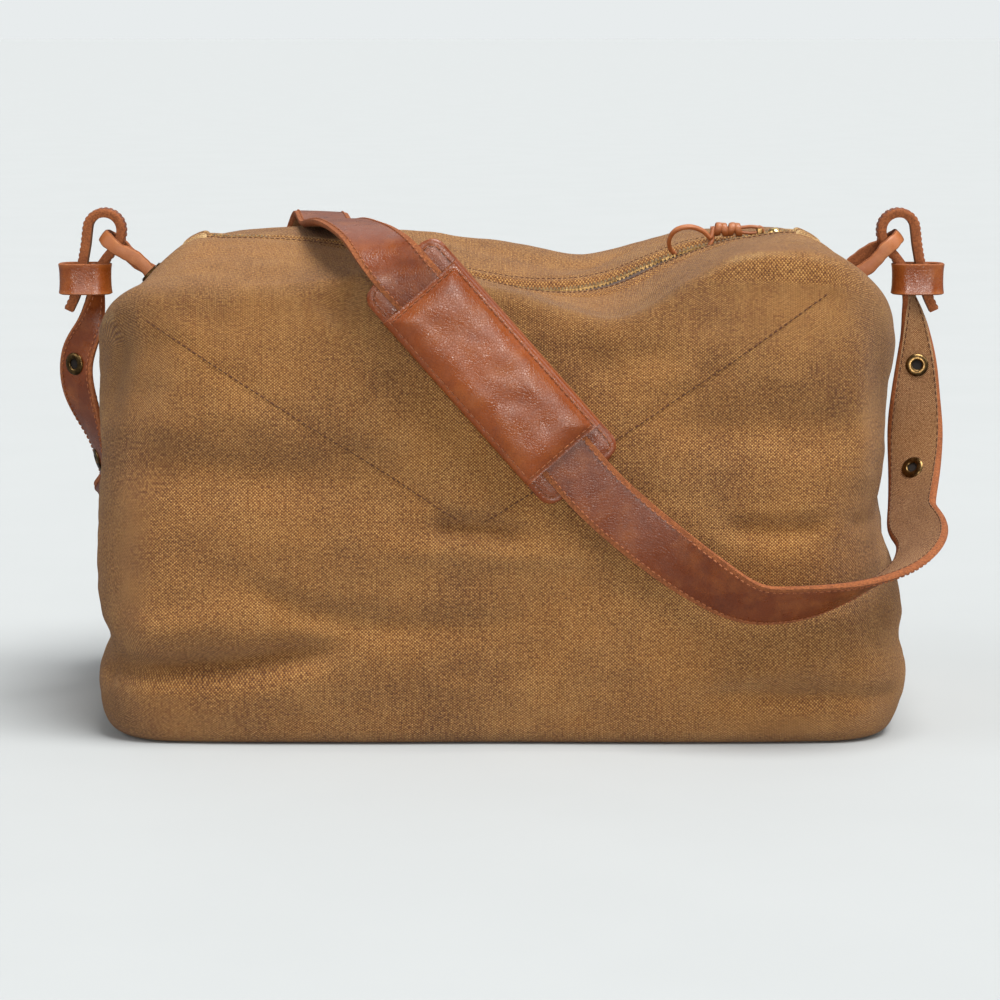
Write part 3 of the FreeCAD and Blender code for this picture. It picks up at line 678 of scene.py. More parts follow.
def canvas_material(name, base, dark, light, worn, pitch=0.0010):
    n = Nodes(name)
    uv = n.node("ShaderNodeUVMap", uv_map="cloth").outputs[0]
    place = n.coords("Object")
    height, over = weave_height(n, uv, pitch, 0.55)
    cloud = n.noise(place, 11, 5, 0.62)
    colour = n.mix(n.ramp(cloud, 0.34, 0.68), dark, base)
    bleach = n.noise(place, 30, 5, 0.65)
    colour = n.mix(n.math("MULTIPLY", n.ramp(bleach, 0.48, 0.74), 0.45), colour, light)
    streak = n.noise(uv, 210, 4, 0.6, stretch=(1.0, 0.22, 1.0))
    colour = n.mix(n.math("MULTIPLY", n.ramp(streak, 0.45, 0.75), 0.30), colour, light)
    fleck = n.noise(uv, 0.60 / pitch, 3, 0.75)
    colour = n.mix(n.ramp(fleck, 0.48, 0.66, 0.0, 0.7), colour, light)
    colour = n.mix(n.ramp(fleck, 0.34, 0.52, 0.7, 0.0), colour, dark, "MULTIPLY")
    colour = n.mix(n.math("MULTIPLY", over, 0.85), colour, dark, "MULTIPLY")
    # Painted shade: the low hollows between the threads are darkened with the dark colour.
    hollow = n.ramp(height, 0.10, 0.60, 0.8, 0.0)
    colour = n.mix(hollow, colour, dark, "MULTIPLY")
    edge = n.node("ShaderNodeNewGeometry").outputs["Pointiness"]
    rub = n.math("MULTIPLY", n.ramp(edge, 0.525, 0.580), n.ramp(n.noise(place, 90, 4), 0.30, 0.60))
    rub = n.math("MULTIPLY", rub, n.ramp(height, 0.2, 0.7, 0.35, 0.80))
    colour = n.mix(rub, colour, worn)
    # Painted shade: concave creases, found by low pointiness, are darkened with the dark colour.
    painted_crease_shade = n.ramp(edge, 0.430, 0.480, 0.30, 0.0)
    colour = n.mix(painted_crease_shade, colour, dark, "MULTIPLY")
    threads = n.math("ADD", height, n.math("MULTIPLY", fleck, 0.9))
    puckers = n.bump(n.noise(place, 75, 4, 0.6), 0.30, 0.0014)
    normal = n.bump(threads, 0.85, 0.0008, puckers)
    rough = n.ramp(n.noise(uv, 700, 3), 0.3, 0.7, 0.82, 0.96)
    return n.finish(colour, rough, normal, Sheen_Weight=0.08, Sheen_Roughness=0.5)


def leather_material(name, base, dark, light, rough=0.32, coat=0.15, grain=1.0, patchy=1.0):
    n = Nodes(name)
    place = n.coords("Object")
    cloud = n.noise(place, 18, 4, 0.55)
    colour = n.mix(n.ramp(cloud, 0.30, 0.70, 0.45, 1.0), dark, base)
    patches = n.noise(place, 60, 5, 0.6)
    colour = n.mix(n.ramp(patches, 0.48, 0.75, 0.0, 0.38 * patchy), colour, light)
    patches = n.noise(place, 95, 4, 0.6)
    colour = n.mix(n.ramp(patches, 0.25, 0.48, 0.42 * patchy, 0.0), colour, dark)
    scuff = n.noise(place, 330, 4, 0.7)
    colour = n.mix(n.ramp(scuff, 0.60, 0.80, 0.0, 0.35 * patchy), colour, light)
    cells = n.node("ShaderNodeTexVoronoi", feature="DISTANCE_TO_EDGE")
    cells.inputs["Scale"].default_value = 700 * grain
    n.link(place, cells.inputs["Vector"])
    pores = n.ramp(cells.outputs["Distance"], 0.0, 0.16)
    colour = n.mix(n.ramp(cells.outputs["Distance"], 0.0, 0.10, 0.30, 0.0), colour, dark)
    edge = n.node("ShaderNodeNewGeometry").outputs["Pointiness"]
    colour = n.mix(n.ramp(edge, 0.52, 0.60, 0.0, 0.55), colour, light)
    # Painted shade: hollows and creases, found by low pointiness, are darkened.
    colour = n.mix(n.ramp(edge, 0.40, 0.48, 0.6, 0.0), colour, dark)
    normal = n.bump(pores, 0.22, 0.0003)
    normal = n.bump(n.noise(place, 120, 5, 0.6), 0.22, 0.0010, normal)
    shine = n.ramp(n.noise(place, 140, 4, 0.6), 0.3, 0.7, rough - 0.08, rough + 0.14)
    return n.finish(colour, shine, normal, Coat_Weight=coat, Coat_Roughness=0.28,
                    Specular_IOR_Level=0.5)


def raw_edge_material(name, base, dark):
    n = Nodes(name)
    place = n.coords("Object")
    fibre = n.noise(place, 900, 4, 0.7)
    colour = n.mix(n.ramp(fibre, 0.35, 0.65), dark, base)
    layers = n.noise(place, 160, 3)
    colour = n.mix(n.ramp(layers, 0.4, 0.7, 0.0, 0.5), colour, dark)
    return n.finish(colour, 0.85, n.bump(fibre, 0.55, 0.0006))


def thread_material(name, base, dark):
    n = Nodes(name)
    place = n.coords("Object")
    twist = n.noise(place, 1600, 2, 0.6)
    colour = n.mix(n.ramp(twist, 0.35, 0.65), dark, base)
    colour = n.mix(n.ramp(n.noise(place, 45, 3), 0.4, 0.7, 0.0, 0.5), colour, dark)
    return n.finish(colour, 0.7, n.bump(twist, 0.5, 0.0003))


def metal_material(name, base, dark, rough):
    n = Nodes(name)
    place = n.coords("Object")
    tarnish = n.noise(place, 180, 5, 0.65)
    colour = n.mix(n.ramp(tarnish, 0.38, 0.66), base, dark)
    scratches = n.noise(place, 900, 3, 0.7, stretch=(1.0, 0.2, 1.0))
    shine = n.ramp(scratches, 0.3, 0.7, rough - 0.08, rough + 0.14)
    normal = n.bump(scratches, 0.18, 0.0002)
    return n.finish(colour, shine, normal, Metallic=1.0)


def plain_cloth_material(name, base, dark, pitch):
    n = Nodes(name)
    place = n.coords("Object")
    separate = n.node("ShaderNodeSeparateXYZ")
    n.link(place, separate.inputs[0])
    rib = n.math("SINE", n.math("MULTIPLY", separate.outputs[0], 2 * math.pi / pitch))
    colour = n.mix(n.ramp(n.noise(place, 350, 4), 0.35, 0.65), dark, base)
    return n.finish(colour, 0.9, n.bump(rib, 0.4, 0.0004), Sheen_Weight=0.15)


def floor_material():
    n = Nodes("studio_floor")
    place = n.coords("Object")
    faint = n.noise(place, 6, 3)
    tone = n.mix(n.ramp(faint, 0.4, 0.6), srgb(179, 183, 184), srgb(180, 184, 185))
    return n.finish(tone, 0.9, Specular_IOR_Level=0.1)


# ------------------------------------------------------------------ strap

STRAP_WIDTH = 34.0
LEATHER_THICK = 2.6
BACKING_THICK = 1.5

# Middle of the strap, where its leather face looks, and its width where it narrows,
# from the right ring to the pad.
RIGHT_ROUTE = [
    ((249.0, 0.0, 262.0), (-1.0, 0.3, 0.0), 12.0),
    ((251.5, -1.0, 253.0), (-0.8, 0.6, 0.0), 13.0),
    ((253.5, -2.5, 244.0), (-0.4, 0.92, 0.0), 15.0),
    ((254.5, -4.0, 234.0), (-0.1, 1.0, 0.0), 18.0),
    ((255.2, -6.0, 218.0), (0.0, 1.0, 0.0), 24.0),
    ((254.5, -10.0, 192.0), (0.0, 1.0, 0.0), 31.0),
    ((254.0, -13.0, 172.0), (0.25, 0.97, -0.05)),
    ((253.0, -20.0, 154.0), (0.45, 0.87, -0.18)),
    ((250.5, -33.0, 139.0), (0.58, 0.68, -0.45)),
    ((246.5, -52.0, 128.0), (0.60, 0.42, -0.68)),
    ((239.5, -76.0, 119.0), (0.54, 0.16, -0.82)),
    ((229.0, -100.0, 110.5), (0.40, -0.06, -0.91)),
    ((215.0, -119.5, 102.0), (0.22, -0.26, -0.94)),
    ((197.0, -131.5, 95.0), (0.06, -0.48, -0.87)),
    ((174.0, -136.0, 90.0), (0.0, -0.68, -0.72)),
    ((148.0, -134.5, 89.0), (0.0, -0.78, -0.62)),
    ((118.0, -129.0, 103.0), (0.0, -0.93, -0.37)),
    ((90.0, -127.0, 123.0), (0.0, -0.99, -0.12)),
]
# On the left the strap turns further round as it hangs, and lies along the bag's end.
LEFT_ROUTE = [
    ((-249.0, 0.0, 262.0), (1.0, -0.3, 0.0), 12.0),
    ((-250.5, 1.0, 253.0), (0.6, -0.8, 0.0), 13.0),
    ((-251.5, 2.5, 244.0), (0.2, -1.0, 0.0), 15.0),
    ((-251.5, 4.0, 234.0), (-0.2, -0.98, 0.0), 18.0),
    ((-251.0, 7.0, 218.0), (-0.5, -0.86, 0.0), 24.0),
    ((-250.5, 11.0, 192.0), (-0.72, -0.70, 0.0), 31.0),
    ((-250.5, 16.0, 172.0), (-0.84, -0.54, 0.0)),
    ((-250.5, 26.0, 150.0), (-0.92, -0.36, -0.1)),
    ((-249.5, 42.0, 131.0), (-0.92, -0.10, -0.3)),
    ((-245.0, 64.0, 116.0), (-0.84, 0.14, -0.5)),
    ((-237.0, 87.0, 106.0), (-0.70, 0.30, -0.64)),
    ((-226.0, 109.0, 98.0), (-0.46, 0.44, -0.76)),
    ((-212.0, 125.0, 92.0), (-0.22, 0.55, -0.80)),
    ((-196.0, 134.0, 90.0), (-0.05, 0.70, -0.70)),
]
# From the pad over the top and down the back, to the left ring.
OVER_ROUTE = [
    ((-66.0, -124.0, 290.0), (0.0, -0.86, 0.5)),
    ((-75.0, -106.0, 298.0), (0.0, -0.45, 0.9)),
    ((-86.0, -80.0, 302.5), (0.0, -0.12, 0.99)),
    ((-95.0, -48.0, 303.0), (0.0, 0.02, 1.0)),
    ((-101.0, -12.0, 300.5), (0.0, 0.06, 1.0)),
    ((-107.0, 30.0, 297.0), (0.0, 0.08, 1.0)),
    ((-113.0, 68.0, 293.0), (0.0, 0.12, 1.0)),
    ((-118.0, 99.0, 287.5), (0.0, 0.38, 0.92)),
    ((-124.0, 117.0, 281.0), (0.0, 0.88, 0.48)),
    ((-132.0, 124.5, 262.0), (0.0, 1.0, 0.0)),
    ((-146.0, 125.5, 215.0), (0.0, 1.0, 0.0)),
    ((-158.0, 126.5, 165.0), (0.0, 1.0, -0.05)),
    ((-167.0, 129.0, 130.0), (0.0, 0.95, -0.30)),
    ((-179.0, 133.0, 105.0), (0.0, 0.85, -0.53)),
]
PAD_CENTRE = np.array([-5.5, -129.0, 222.5])
PAD_WAY = np.array([101.0, 0.0, -115.0]) / math.hypot(101.0, 115.0)
PAD_LENGTH = 165.0
PAD_WIDTH = 56.0
HALF_JOIN = 6.0         # the strap's two halves meet under the pad and pass each other by this


def pad_stop(s, y=-129.0):
    p = PAD_CENTRE + PAD_WAY * s
    return (p[0], y, p[2]), (0.0, -1.0, 0.0)


def strap_runs():
    right = RIGHT_ROUTE + [pad_stop(96.0, -128.6), pad_stop(60.0), pad_stop(20.0), pad_stop(-HALF_JOIN)]
    left = [pad_stop(HALF_JOIN), pad_stop(-30.0), pad_stop(-75.0)] + OVER_ROUTE + LEFT_ROUTE[::-1]
    return right, left


def eyelet_at(points, across, out, z, side):
    """Where the strap's middle passes a height, on its hanging stretch."""
    hanging = [i for i in range(len(points)) if side * points[i][0] > 245 and abs(points[i][1]) < 45]
    i = min(hanging, key=lambda k: abs(points[k][2] - z))
    return points[i], across[i], out[i]


def round_frame(way):
    """The direction at unit length, and two more square to it and to each other."""
    way = np.asarray(way, float) / np.linalg.norm(way)
    side = np.cross(way, (0.31, 0.17, 0.93))
    side /= np.linalg.norm(side)
    return way, side, np.cross(way, side)


def washer(name, centre, way, outer, inner, thick, material):
    """A rolled brass eyelet: a domed ring, thicker at its bore."""
    profile = [(inner, -thick), (inner * 0.92, 0.0), (inner * 1.04, thick), (inner * 1.35, thick * 1.25),
               (outer * 0.82, thick * 0.95), (outer * 0.97, thick * 0.35), (outer, -thick * 0.2),
               (outer * 0.9, -thick)]
    steps = 40
    way, side, other = round_frame(way)
    verts = []
    for k in range(steps):
        a = 2 * math.pi * k / steps
        spoke = side * math.cos(a) + other * math.sin(a)
        verts.extend(centre + spoke * r + way * h for r, h in profile)
    count = len(profile)
    faces = [[k * count + j, k * count + (j + 1) % count, ((k + 1) % steps) * count + (j + 1) % count,
              ((k + 1) % steps) * count + j] for k in range(steps) for j in range(count)]
    return new_object(name, verts, faces, [material], sharp=70)


def disc(name, centre, way, radius, material):
    """A dark disc of painted shade inside an eyelet's hole."""
    way, side, other = round_frame(way)
    steps = 24
    verts = [centre + side * (radius * math.cos(2 * math.pi * k / steps))
             + other * (radius * math.sin(2 * math.pi * k / steps)) - way * 0.2 for k in range(steps)]
    verts += [v + way * 0.4 for v in verts]
    faces = [list(range(steps))[::-1], [steps + k for k in range(steps)]]
    faces += [[k, (k + 1) % steps, steps + (k + 1) % steps, steps + k] for k in range(steps)]
    return new_object(name, verts, faces, [material], sharp=30)


def join(target, *others):
    """One object out of several, keeping each one's materials."""
    bpy.ops.object.select_all(action="DESELECT")
    for one in others:
        one.select_set(True)
    target.select_set(True)
    bpy.context.view_layer.objects.active = target
    bpy.ops.object.join()
    return target


# Stitch inset, gap to the bag, where the back stitches show, and the eyelets of each strap half.
STRAP_SEAM = 3.0         # the stitches run this far inside the strap's edges
STRAP_GAP = 0.5          # between the strap's cloth back and the bag
BARE_FROM = 140.0        # stitches show on the back only past this, where the strap leaves the pad
EYELET_HEIGHTS = (212.5, 151.5)
EYELET_SIZE = (7.0, 3.1, 0.8)
EYELET_SHADE = 3.3


def make_strap(tree, leather, raw, backing, thread, seam_thread, brass, painted_hole_shade):
    right, left = strap_runs()
    for side, name, stops in ((1, "right", right), (-1, "left", left)):
        points, looks, widths, run = resample(stops, 2.5)
        points = lay_on(tree, points, looks, widths, BACKING_THICK + STRAP_GAP)
        across, out = section_frames(points, looks)
        body = ribbon("strap_half_" + name, points, looks, widths, run, LEATHER_THICK, BACKING_THICK,
                      [leather, raw, backing])
        bare = np.abs(points[:, 0]) > BARE_FROM
        face_rows = []
        back_rows = []
        for edge in (-1, 1):
            line = points + across * (edge * (widths / 2 - STRAP_SEAM))[:, None]
            face_rows.append((line + out * (LEATHER_THICK + 0.12), out))
            back_rows.append(((line - out * (BACKING_THICK + 0.05))[bare], -out[bare]))
        top_stitches = stitches("strap_stitches_" + name, face_rows, thread, 3.9, 2.7, 1.1)
        under = stitches("strap_under_stitches_" + name, back_rows, seam_thread, 4.2, 3.0, 0.75)
        rings = []
        for k, z in enumerate(EYELET_HEIGHTS):
            centre, _, way = eyelet_at(points, across, out, z, side)
            rings.append(washer("eyelet_face_%s_%d" % (name, k), centre + way * (LEATHER_THICK + 0.7),
                                way, *EYELET_SIZE, brass))
            rings.append(washer("eyelet_back_%s_%d" % (name, k), centre - way * (BACKING_THICK + 0.6),
                                -way, *EYELET_SIZE, brass))
            # Dark discs of painted shade inside each eyelet, on the face and on the back.
            rings.append(disc("eyelet_bore_%s_%d" % (name, k), centre + way * (LEATHER_THICK + 0.25),
                              way, EYELET_SHADE, painted_hole_shade))
            rings.append(disc("eyelet_bore_under_%s_%d" % (name, k),
                              centre - way * (BACKING_THICK + 0.2), way, EYELET_SHADE, painted_hole_shade))
        eyelets = join(rings[0], *rings[1:])
        eyelets.name = "strap_eyelets_visual_" + name
        for piece in (body, top_stitches, under):
            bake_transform(piece)
        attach(eyelets, "strap_end_" + name)
        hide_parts("strap_eyelets_" + name)
        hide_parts("strap_end_leather_" + name, "strap_end_backing_" + name)
        if side > 0:
            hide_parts("strap_leather", "strap_backing")


# ------------------------------------------------------------------ shoulder pad

PAD_SLIT = 62.5          # the cover ends here, and the strap comes out over the flat tabs
PAD_CORNER = 9.0
PAD_BACK = -121.4
PAD_TAB_TOP = -126.7
PAD_COVER_TOP = -134.6
CHANNEL_HALF = 18.2
CHANNEL_TOP = -132.4
PAD_SEAM = 3.6           # the stitches run this far inside the pad's edge


def pad_place(u, v, y):
    """From along the pad and up across it to the bag's frame."""
    up = np.array([-PAD_WAY[2], 0.0, PAD_WAY[0]])
    p = PAD_CENTRE + PAD_WAY * u + up * v
    return np.array([p[0], y, p[2]])


def pad_half_width(u):
    past = abs(u) - (PAD_LENGTH / 2 - PAD_CORNER)
    if past <= 0:
        return PAD_WIDTH / 2
    return PAD_WIDTH / 2 - PAD_CORNER + math.sqrt(max(PAD_CORNER ** 2 - past ** 2, 0.0))


def cover_top(u, v):
    """Height of the padded cover: stitched flat round its rim, crowned inside."""
    half = PAD_WIDTH / 2
    rim = min(half - abs(v), (PAD_SLIT - abs(u)) * 1.2 + 2.2)
    crown = np.clip((rim - PAD_SEAM) / 14, 0, 1)
    crown = 2.4 * crown * (2 - crown)
    dent = 0.75 * math.exp(-((rim - PAD_SEAM) / 1.6) ** 2)
    roll = 3.2 * np.clip(1 - (half - abs(v)) / 2.6, 0, 1) ** 2
    uneven = 0.45 * perlin(Vector((u / 14, v / 11, 4.2)))
    return PAD_COVER_TOP - crown + dent + roll + uneven * min(1, max(rim, 0) / 8)


def pad_base_mesh():
    """The flat leather under the cover, which shows as a tab at each end."""
    verts = []
    us = np.linspace(-PAD_LENGTH / 2, PAD_LENGTH / 2, 111)
    columns = 28
    for u in us:
        half = pad_half_width(u)
        loop = []
        for k in range(columns + 1):
            v = half * (2 * k / columns - 1)
            edge = min(half - abs(v), PAD_LENGTH / 2 - abs(u))
            dent = 0.5 * math.exp(-((edge - PAD_SEAM) / 1.4) ** 2)
            soft = 0.9 * max(0.0, 1 - edge / 1.6) ** 2
            loop.append((v, PAD_TAB_TOP + soft + dent, 0))
        loop += [(half + 0.15, PAD_TAB_TOP + 1.5, 1), (half + 0.05, PAD_BACK - 1.6, 1)]
        for k in range(columns + 1):
            loop.append((half * (1 - 2 * k / columns), PAD_BACK, 2))
        loop += [(-half - 0.05, PAD_BACK - 1.6, 1), (-half - 0.15, PAD_TAB_TOP + 1.5, 1)]
        verts.extend(pad_place(u, v, y) for v, y, _ in loop)
        kinds = [k for _, _, k in loop]
    return verts, kinds, len(us)


def pad_cover_mesh():
    """An arch over the strap: outer skin, raw ends at the slits, and the channel inside."""
    us = np.linspace(-PAD_SLIT, PAD_SLIT, 84)
    half = PAD_WIDTH / 2
    columns = 40
    verts = []
    for u in us:
        outer = [(-half, PAD_TAB_TOP)]
        outer += [(half * (2 * k / columns - 1) * 0.999, cover_top(u, half * (2 * k / columns - 1)))
                  for k in range(columns + 1)]
        outer += [(half, PAD_TAB_TOP)]
        inner = []
        for v, y in outer:
            arched = abs(v) < half * 0.9995 or y < PAD_TAB_TOP - 1
            inner.append((max(-CHANNEL_HALF, min(CHANNEL_HALF, v)), CHANNEL_TOP if arched else PAD_TAB_TOP))
        verts.extend(pad_place(u, v, y) for v, y in outer)
        verts.extend(pad_place(u, v, y) for v, y in inner)
    count = columns + 3
    faces = []
    kind = []
    for i in range(len(us) - 1):
        a = i * 2 * count
        b = a + 2 * count
        for j in range(count - 1):
            faces.append([a + j, a + j + 1, b + j + 1, b + j])
            kind.append(1 if j in (0, count - 2) else 0)
            faces.append([a + count + j, b + count + j, b + count + j + 1, a + count + j + 1])
            kind.append(2)
        faces.append([a, b, b + count, a + count])
        faces.append([a + count - 1, a + 2 * count - 1, b + 2 * count - 1, b + count - 1])
        kind += [1, 1]
    for start, order in ((0, 1), ((len(us) - 1) * 2 * count, -1)):
        for j in range(count - 1):
            faces.append([start + j, start + count + j, start + count + j + 1, start + j + 1][::order])
            kind.append(1)
    return verts, faces, kind


def swell(obj, cap_mm):
    """Cloth pressure on the padded part of the cover; its rim and channel are held."""
    mesh = obj.data
    start = np.array([v.co for v in mesh.vertices])
    held = obj.vertex_groups.new(name="held")
    up = np.array([-PAD_WAY[2], 0.0, PAD_WAY[0]])
    flat = start / MM - PAD_CENTRE
    along = np.abs(flat @ PAD_WAY)
    side = np.abs(flat @ up)
    free = (along < PAD_SLIT - 5) & (side < PAD_WIDTH / 2 - 5) & (start[:, 1] / MM < PAD_COVER_TOP + 0.6)
    held.add([int(i) for i in np.nonzero(~free)[0]], 1.0, "REPLACE")
    cloth = obj.modifiers.new("cloth", "CLOTH")
    settings = cloth.settings
    settings.quality = 5
    settings.mass = 0.25
    settings.tension_stiffness = 12
    settings.compression_stiffness = 10
    settings.bending_stiffness = 2.0
    settings.use_pressure = True
    settings.uniform_pressure_force = 4
    settings.vertex_group_mass = "held"
    settings.effector_weights.gravity = 0
    cloth.collision_settings.use_collision = False
    scene = bpy.context.scene
    for frame_number in range(1, 21):
        scene.frame_set(frame_number)
    moved = obj.evaluated_get(bpy.context.evaluated_depsgraph_get()).to_mesh()
    end = np.array([v.co for v in moved.vertices])
    obj.modifiers.remove(cloth)
    scene.frame_set(1)
    shift = end - start
    size = np.linalg.norm(shift, axis=1)
    shift *= np.minimum(1.0, cap_mm * MM / np.maximum(size, 1e-9))[:, None]
    mesh.vertices.foreach_set("co", (start + shift).ravel())
    mesh.update()


def make_pad(leather, raw, suede, thread):
    verts, kinds, sections = pad_base_mesh()
    faces, kind = loft_faces(kinds, sections)
    base = new_object("pad_base", verts, faces, [leather, raw, suede], kind, sharp=55)
    verts, faces, kind = pad_cover_mesh()
    cover = new_object("pad_cover", verts, faces, [leather, raw, suede], kind, sharp=55)
    swell(cover, 1.5)
    half = PAD_WIDTH / 2
    rim = []
    corner = PAD_CORNER - PAD_SEAM
    for quarter, (su, sv) in enumerate(((1, 1), (-1, 1), (-1, -1), (1, -1))):
        centre = (su * (PAD_LENGTH / 2 - PAD_CORNER), sv * (half - PAD_CORNER))
        for k in range(7):
            turn = quarter * math.pi / 2 + k / 6 * math.pi / 2
            rim.append((centre[0] + corner * math.cos(turn), centre[1] + corner * math.sin(turn)))
    rim.append(rim[0])
    line = []
    for (u0, v0), (u1, v1) in zip(rim, rim[1:]):
        steps = max(1, int(math.hypot(u1 - u0, v1 - v0) / 1.5))
        for k in range(steps):
            line.append((u0 + (u1 - u0) * k / steps, v0 + (v1 - v0) * k / steps))

    def seat(u, v):
        if abs(u) <= PAD_SLIT - 0.8:
            return pad_place(u, v, cover_top(u, v) - 0.1)
        return pad_place(u, v, PAD_TAB_TOP + 0.35)

    front = np.array([0.0, -1.0, 0.0])
    rows = []
    for keep in (lambda u: abs(u) <= PAD_SLIT - 0.8, lambda u: u > PAD_SLIT, lambda u: u < -PAD_SLIT):
        chunk = []
        for u, v in line + line[:1]:
            if keep(u):
                chunk.append(seat(u, v))
                continue
            if len(chunk) > 3:
                rows.append((chunk, [front] * len(chunk)))
            chunk = []
        if len(chunk) > 3:
            rows.append((chunk, [front] * len(chunk)))
    for end in (-1, 1):
        chunk = [seat(end * (PAD_SLIT - 2.6), v) for v in np.linspace(-half + 4, half - 4, 33)]
        rows.append((chunk, [front] * len(chunk)))
    thread_piece = stitches("pad_stitches", rows, thread, 4.4, 3.4, 1.05)
    for piece in (base, cover, thread_piece):
        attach(piece, "shoulder_pad")
    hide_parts("pad_top", "pad_foam")
    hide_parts("pad_backing")


# ------------------------------------------------------------------ strap ends, rings, keepers

RING_TILT = math.radians(38.0)
RING_FOOT = np.array([212.0, 0.0, 267.8])
RING_HALF = 12.0
RING_LEG = 27.0
TONGUE_ARCH = (243.0, 296.0, 10.0)


def mirror(points, side):
    """Right-end points as they are, or turned to the left end."""
    points = np.asarray(points, float)
    return points if side > 0 else points * np.array([-1.0, -1.0, 1.0])


def tongue_stops():
    cx, cz, r = TONGUE_ARCH
    stops = [((265.5, 0, 246.5), (1, 0, 0.35), 10.5), ((261.5, 0, 255.0), (1, 0, 0.38), 11.5),
             ((258.2, 0, 265.0), (1, 0, 0.25), 11.5), ((256.0, 0, 277.0), (1, 0, 0.12), 11.5),
             ((254.0, 0, 288.0), (1, 0, 0.08), 11.5)]
    for degrees in range(0, 181, 20):
        a = math.radians(degrees)
        stops.append(((cx + r * math.cos(a), 0, cz + r * math.sin(a)), (math.cos(a), 0, math.sin(a)), 11.5))
    stops += [((235.0, 0, 287.5), (-0.9, 0, -0.4), 11.5), ((241.5, 0, 280.0), (-0.8, 0, -0.6), 11.5),
              ((246.6, 0, 272.5), (-0.88, 0, -0.4), 11.5), ((249.0, 0, 262.0), (-1.0, 0.1, 0), 12.0)]
    return stops


def make_tongue(side, name, leather, raw, suede, thread):
    points, looks, widths, run = resample(tongue_stops(), 1.6)
    points = mirror(points, side)
    looks = mirror(looks, side)
    tongue = ribbon("tongue_" + name, points, looks, widths, run, 2.8, 2.4, [leather, raw, suede], 0.4)
    across, out = section_frames(points, looks)
    rows = []
    for edge in (-1, 1):
        line = points + across * (edge * (widths / 2 - 2.0))[:, None] + out * 2.95
        rows.append((line, out))
    sewn = stitches("tongue_stitches_" + name, rows, thread, 3.3, 2.3, 0.85)
    for piece in (tongue, sewn):
        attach(piece, "strap_end_" + name)


def make_ring(side, name, tree, thong, raw, brass):
    way = np.array([math.cos(RING_TILT), 0.0, math.sin(RING_TILT)])
    normal = np.array([-math.sin(RING_TILT), 0.0, math.cos(RING_TILT)])
    centre = RING_FOOT + way * RING_LEG
    across = np.array([0.0, 1.0, 0.0])
    path = [RING_FOOT - across * RING_HALF - way * 9 + way * k * 4 for k in range(9)]
    for k in range(1, 24):
        a = math.pi * k / 24
        path.append(centre - across * (RING_HALF * math.cos(a)) + way * (RING_HALF * math.sin(a)))
    path += [RING_FOOT + across * RING_HALF + way * (23 - k * 4) for k in range(9)]
    path = smooth_line(path, 1.4)
    # The front leg sags a little more than the back one, so both show from the side.
    sway = np.interp(path[:, 1], [-RING_HALF, 0, RING_HALF], [-2.2, 0.0, 2.4])
    lean = np.clip((path @ way - RING_FOOT @ way) / RING_LEG, 0, 1)
    path = path + normal * (sway * np.sin(lean * math.pi))[:, None]
    tangent = np.gradient(path, axis=0)
    looks = np.cross(tangent, normal)
    looks *= np.sign(((path - (centre - way * 8)) * looks).sum(axis=1))[:, None]
    run = distance_along(path)
    widths = 8.6 + 0.5 * np.sin(run * 0.33 + side) + 0.3 * np.sin(run * 0.9)
    ring = ribbon("thong_ring_" + name, mirror(path, side), mirror(looks, side), widths, run, 2.0, 1.8,
                  [thong, raw, raw], 0.5)
    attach(ring, "bag")
    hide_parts("ring_" + name)
    eyelets = []
    for leg in (-1, 1):
        foot = mirror(RING_FOOT + across * (leg * RING_HALF), side)
        direction = mirror(way, side)
        start = foot + direction * 25
        hit, hit_normal, _, _ = tree.ray_cast(Vector(start), Vector(-direction), 60)
        at = np.array(hit) if hit else foot
        face = np.array(hit_normal) if hit else direction
        eyelets.append(washer("ring_eyelet_%s_%d" % (name, leg), at + face * 0.5, face, 6.4, 4.6, 0.7, brass))
    eyelets = join(eyelets[0], eyelets[1])
    eyelets.name = "ring_eyelets_visual_" + name
    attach(eyelets, "bag")
    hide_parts("ring_eyelets_" + name)


